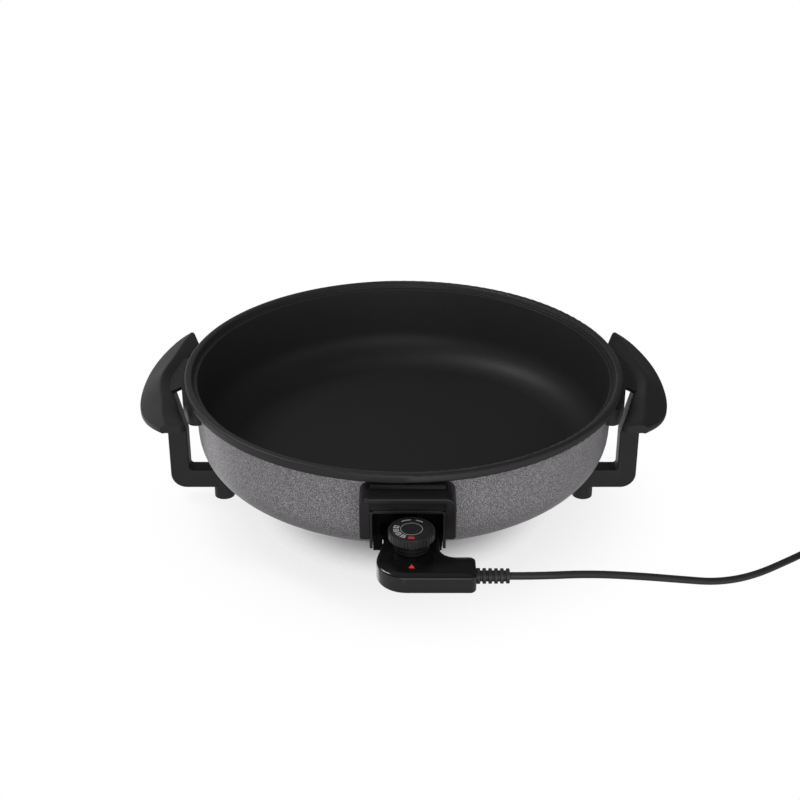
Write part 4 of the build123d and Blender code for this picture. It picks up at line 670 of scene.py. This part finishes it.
class GRILLPAN_OT_pan(bpy.types.Operator):
    """Coats the pan and finishes the element under it"""

    bl_idname = "grillpan.pan"
    bl_label = "Pan and Element"

    def execute(self, context):
        skin("pan", finish_of("hammered_coat", hammered_coat), angle=24.0)
        skin("heating_element", metal_of(SHEATH))
        for node in ("element_clips", "clip_screws", "rim_screws", "foot_washers", "foot_screws"):
            skin(node, metal_of(STEEL), SMALL_EASE)
        return {"FINISHED"}


class GRILLPAN_OT_handles(bpy.types.Operator):
    """Finishes the handles, feet and pads"""

    bl_idname = "grillpan.handles"
    bl_label = "Handles and Feet"

    def execute(self, context):
        black = finish_of("moulding", lambda name: moulding(name, tone_and_shade=0.85))
        for node, side in (("left_handle", -1.0), ("right_handle", 1.0)):
            skin(node, black, HANDLE_EASE, change=lambda shape, side=side: self.round_tip(shape, side))
        skin("front_foot", black)
        skin("rear_foot", black)
        skin("foot_pads", finish_of("lead_rubber", lead_rubber), PLAIN_EASE)
        return {"FINISHED"}

    def round_tip(self, shape, side):
        """Narrows the rear end of a grip to a round tip at its outer edge."""
        middle = Vector((side * TIP_MIDDLE[0], TIP_MIDDLE[1], 0.0))
        for turn in TIP_TURNS:
            way = Vector((-side * cos(radians(turn)), sin(radians(turn)), 0.0))
            cut_faces(shape, self.tip_faces(shape), middle + way * TIP_RADIUS, way, clear=True)
            bmesh.ops.holes_fill(shape, edges=[edge for edge in shape.edges if edge.is_boundary], sides=0)
        bmesh.ops.recalc_face_normals(shape, faces=shape.faces)

    def tip_faces(self, shape):
        """Faces of a grip from its rear end to where its tip starts."""
        reach = {face: max(spot.co.y for spot in face.verts) for face in shape.faces}
        end = max(reach.values())
        found = dict.fromkeys(face for face in shape.faces if reach[face] > end - TIP_END)
        waiting = list(found)
        while waiting:
            for edge in waiting.pop().edges:
                fresh = [face for face in edge.link_faces if face not in found and reach[face] > TIP_START]
                found.update(dict.fromkeys(fresh))
                waiting.extend(fresh)
        return list(found)


class GRILLPAN_OT_inlet(bpy.types.Operator):
    """Finishes the guard, frame, earth plate and pins at the pan's front, and puts painted shade on the
    guard, the plate and a sheet behind it
    """

    bl_idname = "grillpan.inlet"
    bl_label = "Inlet"

    def execute(self, context):
        # The guard takes a much darker copy of the moulding: painted shade from the rim above it.
        satin = finish_of("guard_satin_painted_shade", lambda name: moulding(name, roughness=0.26, level=0.24, tone_and_shade=0.32))
        skin("inlet_guard", satin, GUARD_EASE)
        skin("inlet_frame", finish_of("black_enamel", black_enamel), GUARD_EASE)
        # The earth plate and the sheet behind it share one finish of painted shade.
        shade_sheet_finish = finish_of("plate_black", plate_black)
        skin("earth_plate", shade_sheet_finish, PLAIN_EASE, change=self.drop_skirt)
        self.liner(shade_sheet_finish)
        skin("plate_screws", metal_of(DARK_STEEL), SMALL_EASE)
        skin("terminal_pins", metal_of(NICKEL))
        skin("pin_insulators", finish_of("ceramic", ceramic), PLAIN_EASE)
        return {"FINISHED"}

    def drop_skirt(self, shape):
        """Lengthens the plate's dark lower edge as painted shade, so that it screens the element's ends."""
        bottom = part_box("earth_plate")[0].z
        edge = [spot for spot in shape.verts if spot.co.z < bottom + SKIRT_EDGE]
        bmesh.ops.translate(shape, vec=(0.0, 0.0, -SKIRT_DROP), verts=edge)

    def liner(self, material):
        """Thin dark sheet behind the plate that closes the frame on both sides of the pins, as painted shade.
        """
        frame_low, frame_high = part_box("inlet_frame")
        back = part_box("earth_plate")[1].y
        left = (frame_low.x + SHADE_SHEET_INSET, PIN_OPENING[0])
        right = (PIN_OPENING[1], frame_high.x - SHADE_SHEET_INSET)
        sheet = bmesh.new()
        for start, end in (left, right):
            low = Vector((start, back + SHADE_SHEET_DEPTHS[0], frame_low.z - SHADE_SHEET_DROP))
            high = Vector((end, back + SHADE_SHEET_DEPTHS[1], frame_high.z - SHADE_SHEET_INSET))
            made = bmesh.ops.create_cube(sheet, size=1.0)
            bmesh.ops.scale(sheet, vec=high - low, verts=made["verts"])
            bmesh.ops.translate(sheet, vec=(low + high) / 2, verts=made["verts"])
        bmesh.ops.bevel(
            sheet,
            geom=sheet.edges[:],
            offset=SMALL_EASE,
            affect="EDGES",
            segments=2,
            profile=0.5,
            material=-1,
        )
        mesh_piece("inlet_shade_sheet", sheet, material, body_of_node("inlet_frame"))


class GRILLPAN_OT_thermostat(bpy.types.Operator):
    """Finishes the thermostat's case and what is in it"""

    bl_idname = "grillpan.thermostat"
    bl_label = "Thermostat"

    def execute(self, context):
        gloss = finish_of("case_gloss", case_gloss)
        skin("thermostat_top", gloss, CASE_EASE, change=self.crown)
        skin("thermostat_bottom", gloss, CASE_EASE)
        skin("pointer_lens", finish_of("red_plastic", red_plastic), SMALL_EASE)
        for node in ("case_screws", "cord_clamp", "clamp_screws"):
            skin(node, metal_of(STEEL), FINE_EASE)
        for node in ("probe_tube", "earth_springs"):
            skin(node, metal_of(NICKEL))
        for node in ("contact_sockets", "probe_rod", "dial_bush", "contact_lever", "fixed_contact"):
            skin(node, metal_of(BRASS), FINE_EASE)
        skin("contact_block", finish_of("ceramic", ceramic), PLAIN_EASE)
        skin("neon_lamp", finish_of("bulb_glass", bulb_glass))
        skin("internal_leads", finish_of("lead_plastic", lead_plastic))
        return {"FINISHED"}

    def crown(self, shape):
        """Lets the case's top fall away in a soft curve that runs on into its rounded edge."""
        widest = max(shape.faces, key=lambda face: face.calc_area() * (face.normal.z > FLAT_FROM))
        level = widest.verts[0].co.z
        edges = [edge for face in self.flats(shape, level) for edge in face.edges]
        outline = [
            (edge.verts[0].co.copy(), edge.verts[1].co.copy())
            for edge in edges
            if any(OUTLINE_FROM < face.normal.z < SLOPE_BELOW for face in edge.link_faces)
        ]
        low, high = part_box("thermostat_top")
        for axis in (0, 1):
            for cut in range(1, int((high[axis] - low[axis]) / CROWN_STEP) + 1):
                point, way = low.copy(), Vector((0.0, 0.0, 0.0))
                point[axis] += cut * CROWN_STEP
                way[axis] = 1.0
                cut_faces(shape, self.flats(shape, level), point, way)
        flat = {spot for face in self.flats(shape, level) for spot in face.verts}
        reach = CROWN_REACH + CASE_ROUND
        for spot in shape.verts:
            sloped = any(SLOPE_FROM < face.normal.z < SLOPE_BELOW for face in spot.link_faces)
            edge = level - CASE_ROUND - LEVEL_GAP < spot.co.z < level and sloped
            if spot not in flat and not edge:
                continue
            gap = min(self.plan_gap(spot.co, *line) for line in outline)
            share = (CROWN_REACH - gap if spot in flat else CROWN_REACH + gap) / reach
            if share > 0.0:
                spot.co.z = level - CASE_ROUND * (1.0 - (1.0 - min(share, 1.0) ** 2) ** 0.5)
        shape.normal_update()

    def flats(self, shape, level):
        """Faces of the case's flat top."""
        return [
            face
            for face in shape.faces
            if face.normal.z > FLAT_FROM and all(abs(spot.co.z - level) < LEVEL_GAP for spot in face.verts)
        ]

    def plan_gap(self, spot, start, end):
        """Distance in plan from a spot to a line between two points."""
        run = (end - start).xy
        share = (spot - start).xy.dot(run) / max(run.length_squared, LEAST_LINE)
        return ((spot - start).xy - run * min(max(share, 0.0), 1.0)).length


class GRILLPAN_OT_dial(bpy.types.Operator):
    """Finishes the dial and prints its scale"""

    bl_idname = "grillpan.dial"
    bl_label = "Dial"

    def execute(self, context):
        look = context.scene.grill_pan
        satin = finish_of("dial_satin", dial_satin)
        skin("dial_knob", satin, PLAIN_EASE)
        skin("dial_cap", satin, FINE_EASE)
        skin("dial_spindle", metal_of(BRASS), FINE_EASE)
        white = finish_of("dial_ink", lambda name: ink(name, tuple(look.ink_colour)))
        red = finish_of("mark_ink", lambda name: ink(name, tuple(look.mark_colour)))
        black = finish_of("number_ink", lambda name: ink(name, tuple(look.case_colour)))
        low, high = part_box("dial_cap")
        centre = (low + high) / 2
        centre.z = high.z
        self.print_band("dial_ring", RING_RADII, (0.0, FULL_TURN), centre, white)
        self.print_band("dial_low_arc", ARC_RADII, LOW_ARC, centre, white)
        self.print_band("dial_high_arc", ARC_RADII, HIGH_ARC, centre, white)
        self.print_band("dial_mark", MARK_RADII, MARK_ARC, centre, red)
        for number in range(1, CELL_COUNT + 1):
            angle = CELL_START - CELL_TURN * number
            arc = (angle - CELL_HALF, angle + CELL_HALF)
            cell = self.print_band(f"dial_cell_{number}", CELL_RADII, arc, centre, white)
            top = centre + Vector((0.0, 0.0, cell.dimensions.z))
            self.print_number(str(number), radians(angle), top, black)
        return {"FINISHED"}

    def print_band(self, name, radii, arc, centre, material):
        """Prints a band between two radii, along an arc from one angle to another."""
        start, sweep = arc[0], arc[1] - arc[0]
        shape = bmesh.new()
        spots = [shape.verts.new((radius, 0.0, 0.0)) for radius in radii]
        edge = shape.edges.new(spots)
        bmesh.ops.rotate(shape, matrix=Matrix.Rotation(radians(start), 3, "Z"), verts=spots)
        bmesh.ops.spin(
            shape,
            geom=[*spots, edge],
            cent=(0.0, 0.0, 0.0),
            axis=(0.0, 0.0, 1.0),
            angle=radians(sweep),
            steps=max(round(sweep / BAND_STEP), 4),
            use_merge=sweep >= FULL_TURN,
        )
        raised = bmesh.ops.extrude_face_region(shape, geom=shape.faces[:])
        top = [part for part in raised["geom"] if isinstance(part, bmesh.types.BMVert)]
        bmesh.ops.translate(shape, vec=(0.0, 0.0, INK_THICKNESS), verts=top)
        bmesh.ops.translate(shape, vec=centre, verts=shape.verts)
        return mesh_piece(name, shape, material, "dial")

    def print_number(self, digit, angle, top, material):
        """Prints a number on its cell, its foot towards the dial's centre."""
        letters = bpy.data.curves.new("number_" + digit, "FONT")
        letters.body = digit
        letters.size = NUMBER_SIZE
        letters.align_x = "CENTER"
        letters.align_y = "CENTER"
        letters.extrude = INK_THICKNESS / 2
        holder = bpy.data.objects.new("number_" + digit, letters)
        bpy.context.scene.collection.objects.link(holder)
        bpy.context.view_layer.update()
        graph = bpy.context.evaluated_depsgraph_get()
        flat = bpy.data.meshes.new_from_object(holder.evaluated_get(graph))
        bpy.data.objects.remove(holder)
        spot = top + Vector((cos(angle), sin(angle), 0.0)) * NUMBER_RADIUS
        spot.z += INK_THICKNESS / 2
        flat.transform(Matrix.Translation(spot) @ Matrix.Rotation(angle - pi / 2, 4, "Z"))
        shape = bmesh.new()
        shape.from_mesh(flat)
        bpy.data.meshes.remove(flat)
        return mesh_piece("dial_number_" + digit, shape, material, "dial")


class GRILLPAN_OT_mains_lead(bpy.types.Operator):
    """Lays the mains lead with its coil, and dresses the strain relief, tie and plug"""

    bl_idname = "grillpan.mains_lead"
    bl_label = "Mains Lead"

    def execute(self, context):
        look = context.scene.grill_pan
        rubber = finish_of("lead_rubber", lead_rubber)
        skin("strain_relief", rubber, RELIEF_EASE)
        skin("cord_tail", rubber)
        plug = skin("plug_body", rubber, PLUG_EASE)
        pins = skin("plug_pins", metal_of(NICKEL))
        strips = skin("earth_strips", metal_of(NICKEL), SMALL_EASE)
        tie = skin("cord_tie", finish_of("case_gloss", case_gloss), FINE_EASE)
        points = [*LEAD_ROUTE, *self.coil_points(look)]
        line = bpy.data.curves.new("mains_lead", "CURVE")
        line.dimensions = "3D"
        line.bevel_depth = look.lead_diameter / 2
        line.bevel_resolution = 6
        line.resolution_u = 10
        line.use_fill_caps = True
        spline = line.splines.new("NURBS")
        spline.points.add(len(points) - 1)
        for spot, point in zip(spline.points, points):
            spot.co = (*point, 1.0)
        spline.order_u = 3
        spline.use_endpoint_u = True
        line.materials.append(rubber)
        lead = link_piece("mains_lead", line, "thermostat")
        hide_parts("supply_cord", "cord_coil", "plug_lead")
        return {"FINISHED"}

    def coil_points(self, look):
        """Points of the coil, in on the lower layer and out on the upper one, and of the run to the plug."""
        way = Vector((cos(COIL_HEADING), sin(COIL_HEADING), 0.0))
        start = Vector(LEAD_ROUTE[-1]) + way * COIL_RUN
        radius = look.coil_diameter / 2
        centre = start + Vector((way.y, -way.x, 0.0)) * radius + way * look.lead_diameter
        turn_back = (look.coil_turns - COIL_CLIMB) / 2
        count = round(look.coil_turns * TURN_POINTS)
        made = [start]
        for i in range(count + 1):
            turn = look.coil_turns * i / count
            angle = COIL_HEADING + pi / 2 - 2 * pi * turn
            rise = min(max((turn - turn_back) / COIL_CLIMB, 0.0), 1.0)
            past = rise * COIL_CLIMB
            inward = COIL_STEP * (min(turn, turn_back) + past - past**2 / COIL_CLIMB)
            outward = COIL_STEP * max(turn - turn_back - COIL_CLIMB, 0.0)
            reach = radius - inward + outward
            height = COIL_STEP * rise**2 * (3 - 2 * rise)
            made.append(centre + Vector((reach * cos(angle), reach * sin(angle), height)))
        end = made[-1]
        ahead = Vector((0.0, -1.0, 0.0))
        boot = end + ahead * (look.lead_diameter + PLUG_RUN)
        boot.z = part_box("plug_pins")[0].z + PIN_RADIUS
        made.append(end + ahead * look.lead_diameter)
        made.append(end + ahead * (look.lead_diameter + PLUG_BEND))
        made.append(boot - ahead * PLUG_BEND)
        made.append(boot + ahead * PLUG_DEPTH)
        return made


class GRILLPAN_OT_stage(bpy.types.Operator):
    """Sets the floor, the lights and the camera"""

    bl_idname = "grillpan.stage"
    bl_label = "Stage"

    def execute(self, context):
        scene = context.scene
        look = scene.grill_pan
        scene.view_settings.view_transform = "Standard"
        self.floor()
        self.sky(scene)
        for softbox in SOFTBOXES:
            self.lamp(*softbox)
        self.camera(scene, look)
        return {"FINISHED"}

    def camera(self, scene, look):
        """A camera in front of the pan that looks down at it."""
        lens = bpy.data.cameras.new("photo_camera")
        lens.lens = CAMERA_LENS
        lens.sensor_width = CAMERA_SENSOR
        camera = bpy.data.objects.new("photo_camera", lens)
        tilt = look.camera_tilt
        back = Vector((0.0, -cos(tilt), sin(tilt)))
        camera.location = Vector(CAMERA_TARGET) + back * look.camera_distance
        camera.rotation_euler = (pi / 2 - tilt, 0.0, 0.0)
        scene.collection.objects.link(camera)
        scene.camera = camera

    def floor(self):
        """A pale round floor that fades into the white behind it."""
        shape = bmesh.new()
        bmesh.ops.create_circle(shape, segments=96, radius=FLOOR_RADIUS, cap_ends=True)
        mesh = bpy.data.meshes.new("floor")
        shape.to_mesh(mesh)
        shape.free()
        paper = Finish("floor_paper")
        radius = from_middle(paper.axes(paper.place))
        grain = paper.noise(300.0)
        cover = 1.0
        for start, end, share in FLOOR_FADES:
            cover = cover - paper.step(radius, start, end) * share
        paper.paint(
            base_color=paper.mix(grain, (0.93, 0.93, 0.93), (0.95, 0.95, 0.95)),
            roughness=1.0,
            specular_ior_level=0.0,
            alpha=cover,
        )
        mesh.materials.append(paper.material)
        ground = bpy.data.objects.new("floor", mesh)
        ground.location.z = -FLOOR_DROP
        bpy.context.scene.collection.objects.link(ground)

    def sky(self, scene):
        """White behind the object, a horizon under a darker ceiling in reflections, and an even light."""
        scene.world = bpy.data.worlds.new("studio")
        studio = Tree(scene.world)
        rays = studio.node("ShaderNodeLightPath")
        way = studio.node("ShaderNodeTexCoord")["Generated"]
        height = studio.axes(way)["Z"]
        ceiling = studio.blend(height, (0.02, 0.4), (1.0, 0.1))
        walls = studio.blend(height, (-0.9, -0.45), (0.2, ceiling))
        dimmed = studio.blend(studio.towards(way, DIM_SIDE), (0.68, 0.95), (walls, 0.1))
        mirrored = studio.blend(studio.towards(way, BRIGHT_SIDE), (0.94, 0.99), (dimmed, 1.8))
        even = studio.blend(height, (-0.9, 0.1), (0.2, 0.42))
        level = studio.blend(rays["Is Glossy Ray"], (0.0, 1.0), (even, mirrored))
        straight = {0: rays["Is Camera Ray"], 1: rays["Is Transmission Ray"]}
        seen = studio.node("ShaderNodeMath", {"operation": "MAXIMUM"}, straight)["Value"]
        background = studio.nodes["Background"]
        studio.feed(background.inputs["Color"], (1.0, 1.0, 1.0))
        studio.feed(background.inputs["Strength"], studio.blend(seen, (0.0, 1.0), (level, 1.0)))

    def lamp(self, name, place, target, size, power):
        """A soft light of some width and length that points at the target."""
        light = bpy.data.lights.new(name, "AREA")
        light.shape = "RECTANGLE"
        light.size, light.size_y = size
        light.energy = power
        lamp = bpy.data.objects.new(name, light)
        lamp.location = place
        lamp.rotation_euler = (Vector(target) - Vector(place)).to_track_quat("-Z", "Y").to_euler()
        bpy.context.scene.collection.objects.link(lamp)


class GRILLPAN_PT_panel(bpy.types.Panel):
    """The grill pan's settings and steps"""

    bl_idname = "GRILLPAN_PT_panel"
    bl_label = "Grill Pan"
    bl_space_type = "VIEW_3D"
    bl_region_type = "UI"
    bl_category = "Grill Pan"

    def draw(self, context):
        for name in GrillPanSettings.__annotations__:
            self.layout.prop(context.scene.grill_pan, name)
        for step in STEPS:
            self.layout.operator(step.bl_idname)


STEPS = (
    GRILLPAN_OT_stage,
    GRILLPAN_OT_mains_lead,
    GRILLPAN_OT_pan,
    GRILLPAN_OT_handles,
    GRILLPAN_OT_inlet,
    GRILLPAN_OT_thermostat,
    GRILLPAN_OT_dial,
)
CLASSES = (GrillPanSettings, *STEPS, GRILLPAN_PT_panel)


def register():
    """Adds the classes and the settings to Blender."""
    for part in CLASSES:
        bpy.utils.register_class(part)
    bpy.types.Scene.grill_pan = bpy.props.PointerProperty(type=GrillPanSettings)


def unregister():
    """Takes the settings and the classes out again."""
    del bpy.types.Scene.grill_pan
    for part in reversed(CLASSES):
        bpy.utils.unregister_class(part)


def main():
    """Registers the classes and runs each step."""
    register()
    bpy.ops.grillpan.stage()
    bpy.ops.grillpan.mains_lead()
    bpy.ops.grillpan.pan()
    bpy.ops.grillpan.handles()
    bpy.ops.grillpan.inlet()
    bpy.ops.grillpan.thermostat()
    bpy.ops.grillpan.dial()
    bpy.context.view_layer.update()


if __name__ == "__main__":
    main()
